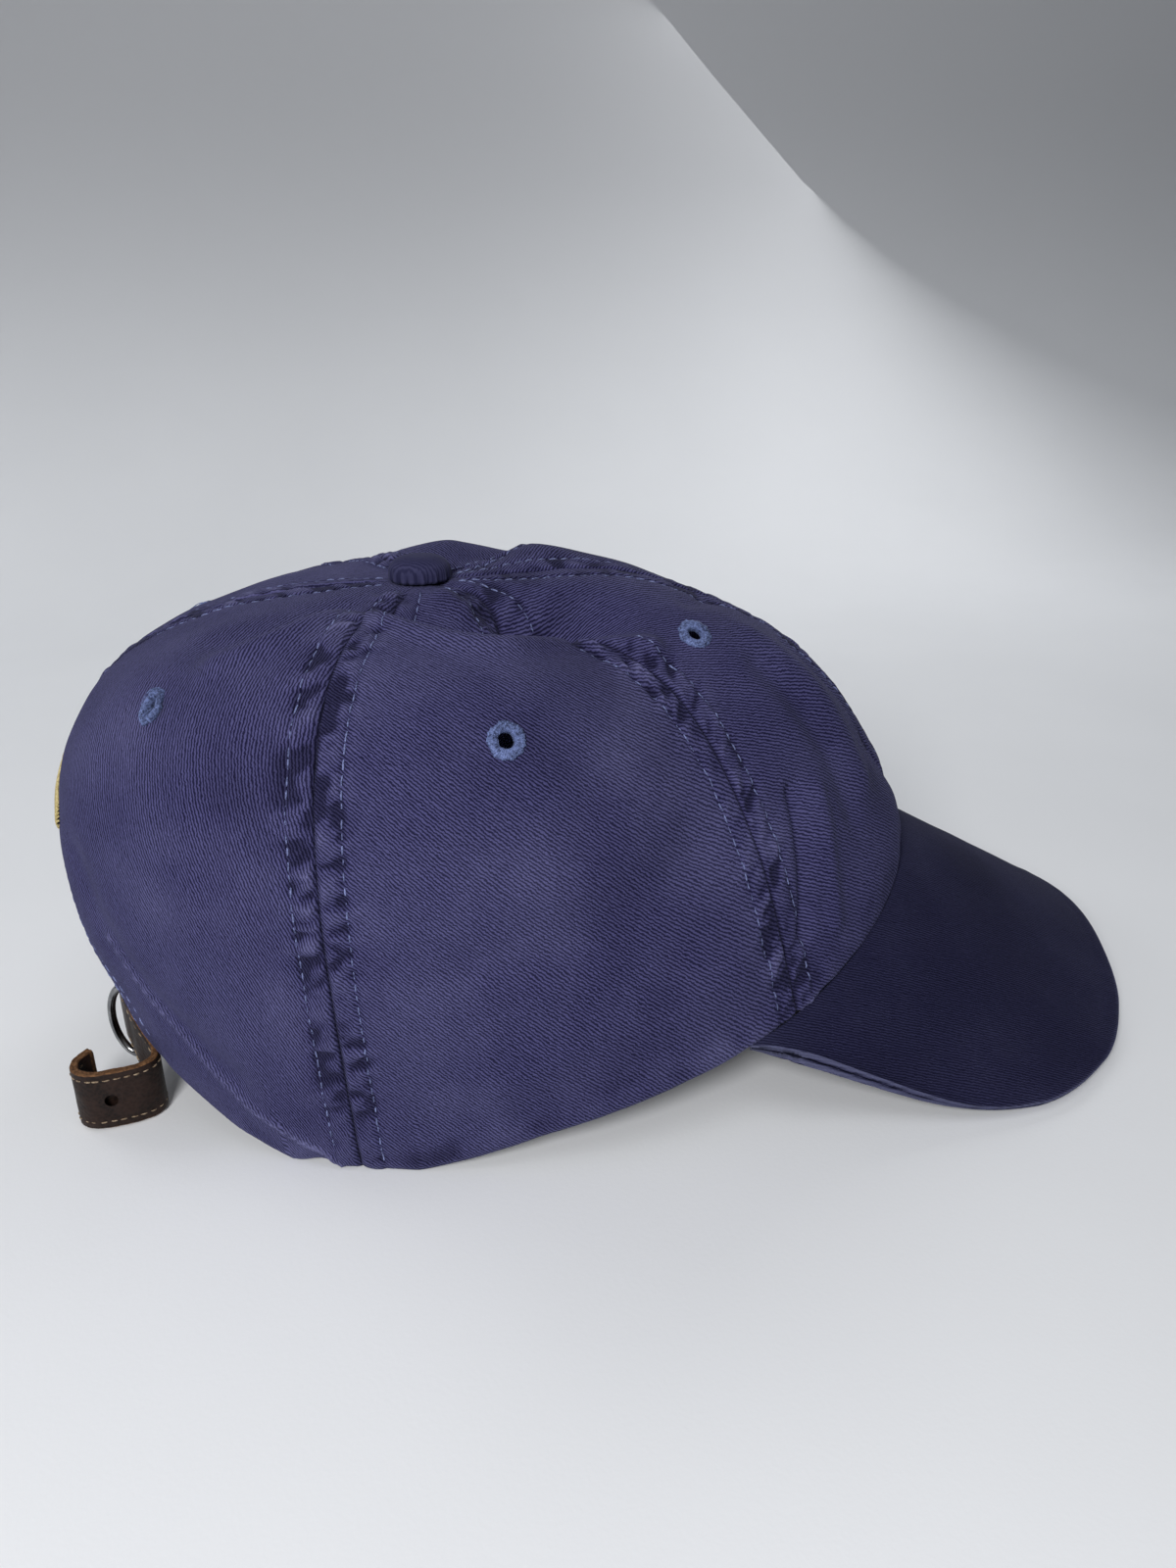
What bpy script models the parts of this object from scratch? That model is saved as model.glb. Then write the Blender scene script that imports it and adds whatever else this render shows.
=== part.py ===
"""Unstructured six-panel baseball cap with a leather strap and a metal buckle at the back.

Run with: blender --background --python part.py
Lengths below are in millimetres and are turned into metres when a mesh is made.
+X points from the back opening to the visor, +Y to the wearer's left, +Z up.
The cap stands on z = 0, on the lower stretches of its rim and on the two sides of its visor.
The sizes are laid out from the middle of the head, and an empty then centres the whole object on x = 0.
"""

import math

import bmesh
import bpy
import numpy as np
from mathutils import Matrix, Vector

MM = 0.001
GAP = 0.3  # clearance between neighbouring solids
CENTRE_X = 26.95  # middle of the whole object's length, from the middle of the head

# Crown: the rim is an ellipse seen from above, and every meridian is a cubic curve from the button to it.
RIM_HALF_LENGTH = 107.0
RIM_HALF_WIDTH = 74.0
BUTTON_POINT = np.array([-21.0, 0.0, 121.0])
PANEL_THICKNESS = 1.0
POST_HOLE_RADIUS = 2.4
STATION_STEP = 30.0  # degrees between the rows below, from the front to the back
RIM_HEIGHT = np.array([49.0, 39.0, 22.0, 9.0, -2.0, 17.0, 30.0])  # negative stretches are flattened to 0
TOP_REACH = np.array([0.69, 0.75, 0.76, 0.86, 0.96, 0.94, 0.85])  # upper handle, share of the run
TOP_DROP = np.array([-5.0, -6.0, 3.0, -4.0, -5.0, -6.0, -7.0])  # upper handle, below the button
SIDE_RISE = np.array([0.604, 0.643, 0.68, 0.863, 0.984, 0.844, 0.764])  # lower handle, share of the height
SIDE_BULGE = np.array([-15.0, -18.0, -16.0, 6.0, 22.0, 27.0, 17.0])  # lower handle, beyond the rim

# Seams, as angles round the rim from the front.
FRONT_SEAM = 56.0
BACK_SEAM = 116.0
PANEL_COLUMNS = 9
PANEL_ROWS = 19

# Back opening: a half-ellipse arch cut out of the two back panels.
OPENING_CORNER = 155.0
ARCH_HEIGHT = 36.0  # along the back seam, above the rim
BACK_MM_PER_DEGREE = RIM_HALF_WIDTH * math.pi / 180.0

# Eyelets: angle round the rim for the front, side and back panels, and share of the way from button to rim.
EYELET_ANGLES = {"front": 38.0, "side": 94.0, "back": 141.0}
EYELET_SHARE = 0.43
EYELET_BORE = 1.7
EYELET_BARREL = 2.6
EYELET_FLANGE = 3.9
EYELET_LIP = 0.7
EYELET_CLEARANCE = 0.8  # the cloth is curved under the flange

# Button.
BUTTON_RADIUS = 7.6
BUTTON_HEIGHT = 5.6
BUTTON_LIFT = 1.1
BUTTON_FABRIC = 0.7
BUTTON_METAL = 0.5
POST_RADIUS = 1.6
BACK_PLATE_RADIUS = 6.4
BACK_PLATE_THICKNESS = 0.8

# Inside the crown.
LINING_GAP = 0.7  # between the crown and what is sewn inside it
TAPE_THICKNESS = 0.6
TAPE_HALF_WIDTH = 5.5
TAPE_START_RADIUS = 7.4
TAPE_ABOVE_RIM = 5.0
SWEATBAND_THICKNESS = 1.0
SWEATBAND_TOP = 34.0  # its edges, as distances above the rim
SWEATBAND_LOW = 1.5
SWEATBAND_END = 149.0
BINDING_THICKNESS = 0.7
BINDING_WIDTH = 8.0

# Visor.
VISOR_CORNER = 64.0
VISOR_TOTAL = 3.2
VISOR_COVER = 0.6
VISOR_SETBACK = 0.8  # outward from the rim and down from it, clear of the crown panels
VISOR_DROP = 0.6
VISOR_EDGE = [  # lower edge from the middle to the near corner, as share of the way, x, y, z
    (0.00, 167.0, 0.0, 10.0),
    (0.25, 163.0, 26.0, 8.0),
    (0.45, 155.0, 48.0, 3.0),
    (0.62, 140.0, 66.0, 0.0),
    (0.78, 116.0, 78.0, 0.0),
    (0.90, 90.0, 77.0, 4.0),
    (1.00, 57.0, 70.5, 16.0),
]
VISOR_SECTIONS = 28
VISOR_STEPS = 5
BOARD_MARGIN = 3.0

# Leather strap, its free tail, the tab and the buckle.
STRAP_WIDTH = 15.5
STRAP_THICKNESS = 2.0
STRAP_HOLE_RADIUS = 1.6
TAIL_PIVOT = (-101.5, -21.0)
STRAP_ROUTE = [
    (-86.0, 37.8, 28.0),
    (-89.2, 33.8, 27.5),
    (-92.6, 29.4, 27.0),
    (-98.2, 21.0, 26.0),
    (-103.2, 10.0, 24.0),
    (-105.6, 0.0, 21.5),
    (-105.8, -7.0, 19.3),
    (-104.5, -12.5, 18.0),
    (-102.5, -18.5, 17.4),
]
TAIL_ROUTE = [
    (-101.3, -21.4, 16.6),
    (-100.0, -24.2, 14.6),
    (-97.4, -27.4, 11.4),
    (-95.3, -30.6, 9.0),
    (-95.4, -34.0, 8.1),
    (-98.6, -36.8, 8.1),
    (-104.0, -38.0, 8.1),
    (-109.5, -38.2, 8.1),
    (-113.0, -35.8, 8.1),
    (-113.6, -31.4, 8.1),
    (-111.2, -27.6, 8.1),
]
STRAP_HOLES = [30.0, 46.0]  # distance along the strap
TAIL_HOLES = [6.5, 23.0]  # distance along the tail
BUCKLE_BAR = (-97.0, -21.5)
BUCKLE_HEADING = 153.4  # degrees from +X, from the bar to the curved side
BUCKLE_HEIGHT = 17.5
BUCKLE_WIRE = 1.0
BUCKLE_HALF_HEIGHT = 10.0
BUCKLE_STRAIGHT = 5.6
BUCKLE_ROUND = 6.0
BUCKLE_CORNER = 2.0
PRONG_HEADING = 110.0
PRONG_WIRE = 0.7
PRONG_LENGTH = 11.5
TAB_ROUTE = [(-97.0, -21.5), (-94.6, -25.6), (-92.2, -29.6), (-89.2, -33.6), (-86.2, -37.4)]
TAB_THICKNESS = 2.2
TAB_HEIGHT = 11.0
TAB_SLOT = 3.2

# Trim.
EMBROIDERY_HALF_ANGLE = 19.0
EMBROIDERY_ABOVE_RIM = (58.0, 50.0)
EMBROIDERY_THICKNESS = 0.6
LABEL_ANGLE = 128.0
LABEL_HALF_ANGLE = 6.5
LABEL_ABOVE_RIM = (62.0, 37.0)
LABEL_THICKNESS = 0.5


def clear_scene():
    for old in list(bpy.data.objects):
        bpy.data.objects.remove(old, do_unlink=True)


def material(name, colour, roughness, metallic=0.0):
    made = bpy.data.materials.new(name)
    made.use_nodes = True
    shader = made.node_tree.nodes["Principled BSDF"]
    shader.inputs["Base Color"].default_value = (*colour, 1.0)
    shader.inputs["Roughness"].default_value = roughness
    shader.inputs["Metallic"].default_value = metallic
    made.diffuse_color = (*colour, 1.0)
    return made


def smooth_row(values, angle):
    """A value given every STATION_STEP degrees from front to back, as a smooth curve that is even about both."""
    place = np.abs((np.asarray(angle, float) + 180.0) % 360.0 - 180.0) / STATION_STEP
    last = len(values) - 1
    low = np.clip(np.floor(place).astype(int), 0, last - 1)
    t = place - low

    def at(index):
        index = np.where(index < 0, -index, index)
        return values[np.where(index > last, 2 * last - index, index)]

    a, b, c, d = at(low - 1), at(low), at(low + 1), at(low + 2)
    return b + 0.5 * t * (c - a + t * (2 * a - 5 * b + 4 * c - d + t * (3 * (b - c) + d - a)))


def rim_point(angle):
    turn = np.radians(angle)
    height = np.maximum(smooth_row(RIM_HEIGHT, angle), 0.0)
    return np.stack([RIM_HALF_LENGTH * np.cos(turn), RIM_HALF_WIDTH * np.sin(turn), height], -1)


def outward(angle):
    """Level unit vector from the button's axis to the rim."""
    way = rim_point(angle)[..., :2] - BUTTON_POINT[:2]
    return way / np.linalg.norm(way, axis=-1, keepdims=True)


def crown_point(angle, v):
    """The crown's outer face: v runs from 0 at the button to 1 at the rim."""
    angle, v = np.broadcast_arrays(np.asarray(angle, float), np.asarray(v, float))
    rim = rim_point(angle)
    away = outward(angle)
    run = np.linalg.norm(rim[..., :2] - BUTTON_POINT[:2], axis=-1, keepdims=True)
    rise = (BUTTON_POINT[2] - rim[..., 2])[..., None]
    reach = smooth_row(TOP_REACH, angle)[..., None]
    drop = smooth_row(TOP_DROP, angle)[..., None]
    lift = smooth_row(SIDE_RISE, angle)[..., None]
    bulge = smooth_row(SIDE_BULGE, angle)[..., None]
    upper = np.concatenate([BUTTON_POINT[:2] + reach * run * away, BUTTON_POINT[2] - drop], -1)
    lower = np.concatenate([rim[..., :2] + bulge * away, rim[..., 2:] + lift * rise], -1)
    w = v[..., None]
    return (1 - w) ** 3 * BUTTON_POINT + 3 * (1 - w) ** 2 * w * upper + 3 * (1 - w) * w * w * lower + w**3 * rim


def meridian_length(angle):
    """Length of the crown's outer face from the button to the rim."""
    line = crown_point(np.asarray(angle, float)[..., None], np.linspace(0.0, 1.0, 81))
    return np.linalg.norm(np.diff(line, axis=-2), axis=-1).sum(axis=-1)


def v_at(angle, distance):
    """Where a meridian's length from the button reaches a distance. A negative one counts up from the rim."""
    angle, distance = np.broadcast_arrays(np.asarray(angle, float), np.asarray(distance, float))
    samples = np.linspace(0.0, 1.0, 81)
    found = np.empty(angle.size)
    for k, (a, d) in enumerate(zip(angle.ravel(), distance.ravel())):
        steps = np.linalg.norm(np.diff(crown_point(a, samples), axis=0), axis=1)
        length = np.concatenate([[0.0], np.cumsum(steps)])
        found[k] = np.interp(d if d >= 0.0 else length[-1] + d, length, samples)
    return found.reshape(angle.shape)


def crown_frame(angle, v):
    """Outer face point, its outward normal and the level direction of growing angle."""
    small = 1e-3
    v = np.clip(v, small, 1.0)
    point = crown_point(angle, v)
    across = crown_point(np.asarray(angle) + 0.05, v) - crown_point(np.asarray(angle) - 0.05, v)
    down = point - crown_point(angle, v - small)
    normal = np.cross(down, across)
    normal /= np.linalg.norm(normal, axis=-1, keepdims=True)
    return point, normal, across / np.linalg.norm(across, axis=-1, keepdims=True)


def crown_layer(angle, v, depth, side=0.0):
    """A grid of points this deep inside the crown. The last row is level, so that the rim's lower face is flat."""
    point, normal, across = crown_frame(angle, v)
    at_rim = (np.asarray(v) > 0.9999)[..., None]
    level = np.concatenate([outward(angle), np.zeros(np.shape(angle) + (1,))], -1)
    side = np.broadcast_to(np.asarray(side, float), np.shape(angle))[..., None]
    return point - depth * np.where(at_rim, level, normal) + side * across


def add_mesh(name, points, faces, mat, sharp_degrees=40.0):
    mesh = bpy.data.meshes.new(name)
    mesh.from_pydata([tuple(p * MM) for p in np.asarray(points)], [], faces)
    made = bmesh.new()
    made.from_mesh(mesh)
    bmesh.ops.recalc_face_normals(made, faces=made.faces)
    if made.calc_volume(signed=True) < 0:
        bmesh.ops.reverse_faces(made, faces=made.faces)
    made.to_mesh(mesh)
    made.free()
    mesh.materials.append(mat)
    mesh.shade_smooth()
    mesh.set_sharp_from_angle(angle=math.radians(sharp_degrees))
    obj = bpy.data.objects.new(name, mesh)
    bpy.context.collection.objects.link(obj)
    return obj


def shell(name, outer, inner, mat):
    """A closed sheet from two grids of points with the same rows and columns."""
    rows, columns = outer.shape[:2]
    count = rows * columns

    def index(i, j, layer):
        return layer * count + i * columns + j

    faces = []
    for i in range(rows - 1):
        for j in range(columns - 1):
            quad = [(i, j), (i + 1, j), (i + 1, j + 1), (i, j + 1)]
            faces.append([index(a, b, 0) for a, b in quad])
            faces.append([index(a, b, 1) for a, b in reversed(quad)])
    border = [(i, 0) for i in range(rows)] + [(rows - 1, j) for j in range(1, columns)]
    border += [(i, columns - 1) for i in range(rows - 2, -1, -1)] + [(0, j) for j in range(columns - 2, 0, -1)]
    for here, after in zip(border, border[1:] + border[:1]):
        faces.append([index(*here, 0), index(*here, 1), index(*after, 1), index(*after, 0)])
    points = np.concatenate([outer.reshape(-1, 3), inner.reshape(-1, 3)])
    return add_mesh(name, points, faces, mat)


def loft(name, sections, mat, closed=False, sharp_degrees=40.0):
    """A solid through closed sections with the same number of points. A closed loft joins its last to its first."""
    count, size = sections.shape[:2]
    faces = []
    for i in range(count if closed else count - 1):
        following = (i + 1) % count
        for j in range(size):
            k = (j + 1) % size
            faces.append([i * size + j, following * size + j, following * size + k, i * size + k])
    if not closed:
        faces.append(list(range(size)))
        faces.append([(count - 1) * size + j for j in range(size)])
    return add_mesh(name, sections.reshape(-1, 3), faces, mat, sharp_degrees)


def turned(name, profile, mat, origin, axis=(0.0, 0.0, 1.0), sides=24, sharp_degrees=40.0):
    """A closed profile of (radius, height) turned about an axis. Radius 0 makes a pole."""
    turn = Vector((0.0, 0.0, 1.0)).rotation_difference(Vector(axis)).to_matrix()
    points = []
    rings = []
    for radius, height in profile:
        corners = 1 if radius == 0.0 else sides
        rings.append([len(points) + k for k in range(corners)])
        for k in range(corners):
            angle = 2.0 * math.pi * k / sides
            local = Vector((radius * math.cos(angle), radius * math.sin(angle), height))
            points.append(np.array(origin) + np.array(turn @ local))
    faces = []
    pole_ended = len(rings[0]) == 1 and len(rings[-1]) == 1
    pairs = list(zip(rings, rings[1:]))
    if not pole_ended:
        pairs.append((rings[-1], rings[0]))
    for first, second in pairs:
        for k in range(sides):
            m = (k + 1) % sides
            ends = [first[k % len(first)], first[m % len(first)], second[m % len(second)], second[k % len(second)]]
            faces.append(list(dict.fromkeys(ends)))
    return add_mesh(name, np.array(points), faces, mat, sharp_degrees)


def cylinder_cutter(name, point, axis, radius, depth, sides=24):
    """A hidden cylinder centred on a point."""
    mesh = bpy.data.meshes.new(name)
    made = bmesh.new()
    turn = Vector((0.0, 0.0, 1.0)).rotation_difference(Vector(axis)).to_matrix().to_4x4()
    place = Matrix.Translation(Vector(np.array(point) * MM)) @ turn
    sizes = {"radius1": radius * MM, "radius2": radius * MM, "depth": depth * MM}
    bmesh.ops.create_cone(made, cap_ends=True, segments=sides, matrix=place, **sizes)
    made.to_mesh(mesh)
    made.free()
    return hidden_cutter(name, mesh)


def hidden_cutter(name, mesh):
    cutter = bpy.data.objects.new(name, mesh)
    bpy.context.collection.objects.link(cutter)
    cutter.hide_render = True
    cutter.display_type = "WIRE"
    return cutter


def cut(obj, cutter):
    boolean = obj.modifiers.new(cutter.name, "BOOLEAN")
    boolean.operation = "DIFFERENCE"
    boolean.solver = "EXACT"
    boolean.object = cutter


def set_origin(obj, point):
    """Moves an object's origin to a point, leaving its shape where it is."""
    place = Vector(np.array(point) * MM)
    obj.data.transform(Matrix.Translation(-place))
    obj.location = place


def plain_panel(start, end):
    """(angle, v) grids of a panel that runs down to the rim."""
    share = np.linspace(0.0, 1.0, PANEL_COLUMNS + 1)[:, None]
    down = np.linspace(0.0, 1.0, PANEL_ROWS + 1)[None, :]
    angle = (start + (end - start) * share) + 0.0 * down
    length = meridian_length(angle)
    return angle, v_at(angle, POST_HOLE_RADIUS + (length - POST_HOLE_RADIUS) * down)


def arch(turn, beyond=0.0):
    """The opening's edge on the wearer's left as (angle, distance above the rim).

    turn runs from 0 at its corner to 90 at its top, and beyond is a distance outside the edge.
    """
    reach = 180.0 - OPENING_CORNER + beyond / BACK_MM_PER_DEGREE
    return 180.0 - reach * np.cos(np.radians(turn)), (ARCH_HEIGHT + beyond) * np.sin(np.radians(turn))


def back_panel():
    """(angle, v) grids of the left back panel, whose lower edge follows the rim and then the opening's arch."""
    along_rim = np.linspace(BACK_SEAM, OPENING_CORNER, 6)
    arch_angle, arch_rise = arch(np.linspace(0.0, 90.0, 7)[1:])
    edge_angle = np.concatenate([along_rim, arch_angle])[:, None]
    edge_rise = np.concatenate([np.zeros_like(along_rim), arch_rise])[:, None]
    top_angle = np.linspace(BACK_SEAM, 180.0, len(edge_angle))[:, None]
    down = np.linspace(0.0, 1.0, PANEL_ROWS + 1)[None, :]
    angle = top_angle + (edge_angle - top_angle) * down**2
    length = meridian_length(angle) - edge_rise
    return angle, v_at(angle, POST_HOLE_RADIUS + (length - POST_HOLE_RADIUS) * down)


def make_panel(name, angle, v, mirrored, mat):
    """A panel's shell, with half the seam gap taken off both its long sides."""
    side = np.zeros_like(angle)
    side[0, :] = GAP / 2.0
    side[-1, :] = -GAP / 2.0
    if mirrored:
        angle, side = -angle, -side
    return shell(name, crown_layer(angle, v, 0.0, side), crown_layer(angle, v, PANEL_THICKNESS, side), mat)


def make_eyelet(name, point, normal, thread):
    """An embroidered ring: a flange on each face of the cloth, joined through the hole."""
    top = EYELET_CLEARANCE + EYELET_LIP
    low = -PANEL_THICKNESS - EYELET_CLEARANCE - EYELET_LIP
    profile = [
        (EYELET_BORE, low + 0.3),
        (EYELET_BORE, top - 0.3),
        (EYELET_BORE + 0.5, top),
        (EYELET_FLANGE - 0.6, top - 0.05),
        (EYELET_FLANGE, top - EYELET_LIP + 0.15),
        (EYELET_FLANGE - 0.1, top - EYELET_LIP),
        (EYELET_BARREL, top - EYELET_LIP),
        (EYELET_BARREL, low + EYELET_LIP),
        (EYELET_FLANGE - 0.4, low + EYELET_LIP),
        (EYELET_FLANGE - 0.9, low),
        (EYELET_BORE + 0.4, low),
    ]
    return turned(name, profile, thread, point, normal, sides=12)


def make_panels(cloth, thread):
    """Six panels, each with its eyelet in a hole of its own."""
    grids = {
        "front": plain_panel(0.0, FRONT_SEAM),
        "side": plain_panel(FRONT_SEAM, BACK_SEAM),
        "back": back_panel(),
    }
    for place, (angle, v) in grids.items():
        for hand in ("left", "right"):
            turn = 1.0 if hand == "left" else -1.0
            panel = make_panel(f"{place}_panel_{hand}", angle, v, hand == "right", cloth)
            eyelet_angle = np.array(turn * EYELET_ANGLES[place])
            eyelet_v = v_at(eyelet_angle, EYELET_SHARE * meridian_length(eyelet_angle))
            point, normal, _ = crown_frame(eyelet_angle, eyelet_v)
            hole = cylinder_cutter(f"cut_{place}_{hand}", point, normal, EYELET_BARREL + GAP, 6.0)
            cut(panel, hole)
            make_eyelet(f"{place}_eyelet_{hand}", point, normal, thread)


def dome_profile(radius, height, base, wall):
    """A cup with its mouth down: outside over the top and down, then back up the inside."""
    steps = 5
    outside = []
    inside = []
    for k in range(steps + 1):
        turn = math.radians(90.0 * k / steps)
        outside.append((radius * math.sin(turn), base + height * math.cos(turn) ** 0.8 if k < steps else base))
        inner_radius = (radius - wall) * math.sin(turn)
        inside.append((inner_radius, base + (height - wall) * math.cos(turn) ** 0.8 if k < steps else base))
    outside[0] = (0.0, base + height)
    inside[0] = (0.0, base + height - wall)
    return outside + inside[::-1]


def make_button(cloth, metal):
    """Covered button: cloth over a metal cap, with a post through the crown and a plate inside."""
    x, y, z = BUTTON_POINT
    foot = (x, y, z + BUTTON_LIFT)
    turned("button_cover", dome_profile(BUTTON_RADIUS, BUTTON_HEIGHT, 0.0, BUTTON_FABRIC), cloth, foot)
    inner_radius = BUTTON_RADIUS - BUTTON_FABRIC - GAP
    inner_height = BUTTON_HEIGHT - BUTTON_FABRIC - GAP
    turned("button_shell", dome_profile(inner_radius, inner_height, 0.0, BUTTON_METAL), metal, foot)
    post_top = BUTTON_LIFT + inner_height - BUTTON_METAL - 3.0 * GAP
    plate_top = -PANEL_THICKNESS - 3.5 * GAP
    plate_low = plate_top - BACK_PLATE_THICKNESS
    head = POST_RADIUS + 1.2
    post = [
        (0.0, post_top),
        (head, post_top),
        (head, post_top - 0.8),
        (POST_RADIUS, post_top - 0.8),
        (POST_RADIUS, plate_low - GAP),
        (head, plate_low - GAP),
        (head - 0.4, plate_low - GAP - 0.9),
        (0.0, plate_low - GAP - 0.9),
    ]
    turned("button_post", post, metal, (x, y, z), sides=16)
    bore = POST_RADIUS + GAP
    plate = [
        (bore, plate_low),
        (bore, plate_top),
        (BACK_PLATE_RADIUS, plate_top),
        (BACK_PLATE_RADIUS, plate_top - 0.5),
        (BACK_PLATE_RADIUS - 0.5, plate_low),
    ]
    turned("button_back_plate", plate, metal, (x, y, z))


def make_seam_tape(name, angle, above_rim, mat):
    """A strip inside the crown, centred under a seam and narrowing towards the button."""
    length = meridian_length(angle) - above_rim
    v = v_at(angle, TAPE_START_RADIUS + (length - TAPE_START_RADIUS) * np.linspace(0.0, 1.0, PANEL_ROWS + 1))
    reach = np.linalg.norm(crown_point(angle, v)[:, :2] - BUTTON_POINT[:2], axis=-1)
    half = np.minimum(TAPE_HALF_WIDTH, 0.31 * reach - GAP)
    share = np.array([-1.0, 0.0, 1.0])[:, None]
    grid_v = v[None, :] + 0.0 * share
    span = np.linalg.norm(crown_point(angle + 0.5, grid_v) - crown_point(angle - 0.5, grid_v), axis=-1)
    grid_angle = angle + share * half[None, :] / span
    depth = PANEL_THICKNESS + LINING_GAP
    outer = crown_layer(grid_angle, grid_v, depth)
    inner = crown_layer(grid_angle, grid_v, depth + TAPE_THICKNESS)
    return shell(name, outer, inner, mat)


def make_seam_tapes(mat):
    make_seam_tape("seam_tape_front", 0.0, TAPE_ABOVE_RIM, mat)
    make_seam_tape("seam_tape_back", 180.0, ARCH_HEIGHT + BINDING_WIDTH + 2.0, mat)
    for hand, turn in (("left", 1.0), ("right", -1.0)):
        make_seam_tape(f"seam_tape_front_{hand}", turn * FRONT_SEAM, TAPE_ABOVE_RIM, mat)
        make_seam_tape(f"seam_tape_back_{hand}", turn * BACK_SEAM, TAPE_ABOVE_RIM, mat)


def make_sweatband(mat):
    """One band round the head, open at the back."""
    angle = np.linspace(-SWEATBAND_END, SWEATBAND_END, 49)[:, None]
    above_rim = np.linspace(SWEATBAND_TOP, SWEATBAND_LOW, 4)[None, :]
    angle, above_rim = np.broadcast_arrays(angle, above_rim)
    v = v_at(angle, -above_rim)
    depth = PANEL_THICKNESS + LINING_GAP + TAPE_THICKNESS + 1.5 * GAP
    shell("sweatband", crown_layer(angle, v, depth), crown_layer(angle, v, depth + SWEATBAND_THICKNESS), mat)


def make_opening_binding(mat):
    """A strip inside the crown that follows the opening's arch from corner to corner."""
    turn = np.concatenate([np.linspace(12.0, 90.0, 13), np.linspace(90.0, 12.0, 13)[1:]])
    hand = np.concatenate([np.ones(13), -np.ones(12)])
    rings = [arch(turn, beyond) for beyond in (0.5, 0.5 * BINDING_WIDTH, BINDING_WIDTH)]
    angle = np.stack([hand * ring[0] for ring in rings], 1)
    v = v_at(angle, -np.stack([ring[1] for ring in rings], 1))
    depth = PANEL_THICKNESS + LINING_GAP
    shell("opening_binding", crown_layer(angle, v, depth), crown_layer(angle, v, depth + BINDING_THICKNESS), mat)


def smooth_path(points, step):
    """Evenly spaced points on a Catmull-Rom curve through the given ones, and the distance along it."""
    points = np.asarray(points, float)
    ends = np.concatenate([[2 * points[0] - points[1]], points, [2 * points[-1] - points[-2]]])
    t = np.linspace(0.0, 1.0, 20, endpoint=False)[:, None]
    fine = []
    for a, b, c, d in zip(ends, ends[1:], ends[2:], ends[3:]):
        fine.append(b + 0.5 * t * (c - a + t * (2 * a - 5 * b + 4 * c - d + t * (3 * (b - c) + d - a))))
    fine = np.concatenate(fine + [points[-1:]])
    along = np.concatenate([[0.0], np.cumsum(np.linalg.norm(np.diff(fine, axis=0), axis=1))])
    even = np.linspace(0.0, along[-1], max(2, round(along[-1] / step) + 1))
    return np.stack([np.interp(even, along, fine[:, k]) for k in range(3)], 1), even


def level_sides(path):
    """Level unit vector to the left of each point of a path."""
    way = np.gradient(path, axis=0)
    side = np.stack([-way[:, 1], way[:, 0], np.zeros(len(path))], 1)
    return side / np.linalg.norm(side, axis=1, keepdims=True)


def ribbon(name, path, width, thickness, mat):
    """A strip on edge: its width is upright and its corners are taken off."""
    side = level_sides(path)
    up = np.array([0.0, 0.0, 1.0])
    edge = 0.5
    w = width / 2.0
    t = thickness / 2.0
    outline = [(-t, -w + edge), (-t + edge, -w), (t - edge, -w), (t, -w + edge)]
    outline += [(t, w - edge), (t - edge, w), (-t + edge, w), (-t, w - edge)]
    sections = np.stack([path + a * side + b * up for a, b in outline], 1)
    return loft(name, sections, mat)


def punch_holes(obj, path, along, distances):
    side = level_sides(path)
    for number, distance in enumerate(distances, 1):
        k = int(np.argmin(np.abs(along - distance)))
        cutter = cylinder_cutter(f"punch_{obj.name}_{number}", path[k], side[k], STRAP_HOLE_RADIUS, 6.0, 16)
        cut(obj, cutter)


def make_strap(leather):
    """The strap across the opening, and its free tail beyond the buckle, which bends at the tail's pivot."""
    path, along = smooth_path(STRAP_ROUTE, 2.5)
    strap = ribbon("leather_strap", path, STRAP_WIDTH, STRAP_THICKNESS, leather)
    punch_holes(strap, path, along, STRAP_HOLES)
    path, along = smooth_path(TAIL_ROUTE, 1.8)
    tail = ribbon("strap_tail", path, STRAP_WIDTH, STRAP_THICKNESS, leather)
    punch_holes(tail, path, along, TAIL_HOLES)
    set_origin(tail, (*TAIL_PIVOT, 0.0))


def heading(degrees):
    return np.array([math.cos(math.radians(degrees)), math.sin(math.radians(degrees)), 0.0])


def buckle_outline():
    """The frame's centre line as (distance from the bar, height): a bar, two legs and a half-ellipse."""
    corner = BUCKLE_CORNER
    top = BUCKLE_HALF_HEIGHT
    points = [(0.0, h) for h in (-5.0, 0.0, 5.0)]
    for turn in (0.0, 30.0, 60.0, 90.0):
        a = math.radians(turn)
        points.append((corner - corner * math.cos(a), top - corner + corner * math.sin(a)))
    for k in range(13):
        a = math.radians(90.0 - 15.0 * k)
        points.append((BUCKLE_STRAIGHT + BUCKLE_ROUND * math.cos(a), top * math.sin(a)))
    for turn in (90.0, 60.0, 30.0, 0.0):
        a = math.radians(turn)
        points.append((corner - corner * math.cos(a), -top + corner - corner * math.sin(a)))
    return np.array(points)


def ring_sections(centre, way, radius, sides, flat_side):
    """Circles round the points of a path that lies in one plane, whose normal is flat_side."""
    across = np.cross(way, flat_side)
    across /= np.linalg.norm(across, axis=1, keepdims=True)
    sections = []
    for k in range(sides):
        a = 2.0 * math.pi * k / sides
        sections.append(centre + radius * (math.cos(a) * across + math.sin(a) * flat_side))
    return np.stack(sections, 1)


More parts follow.
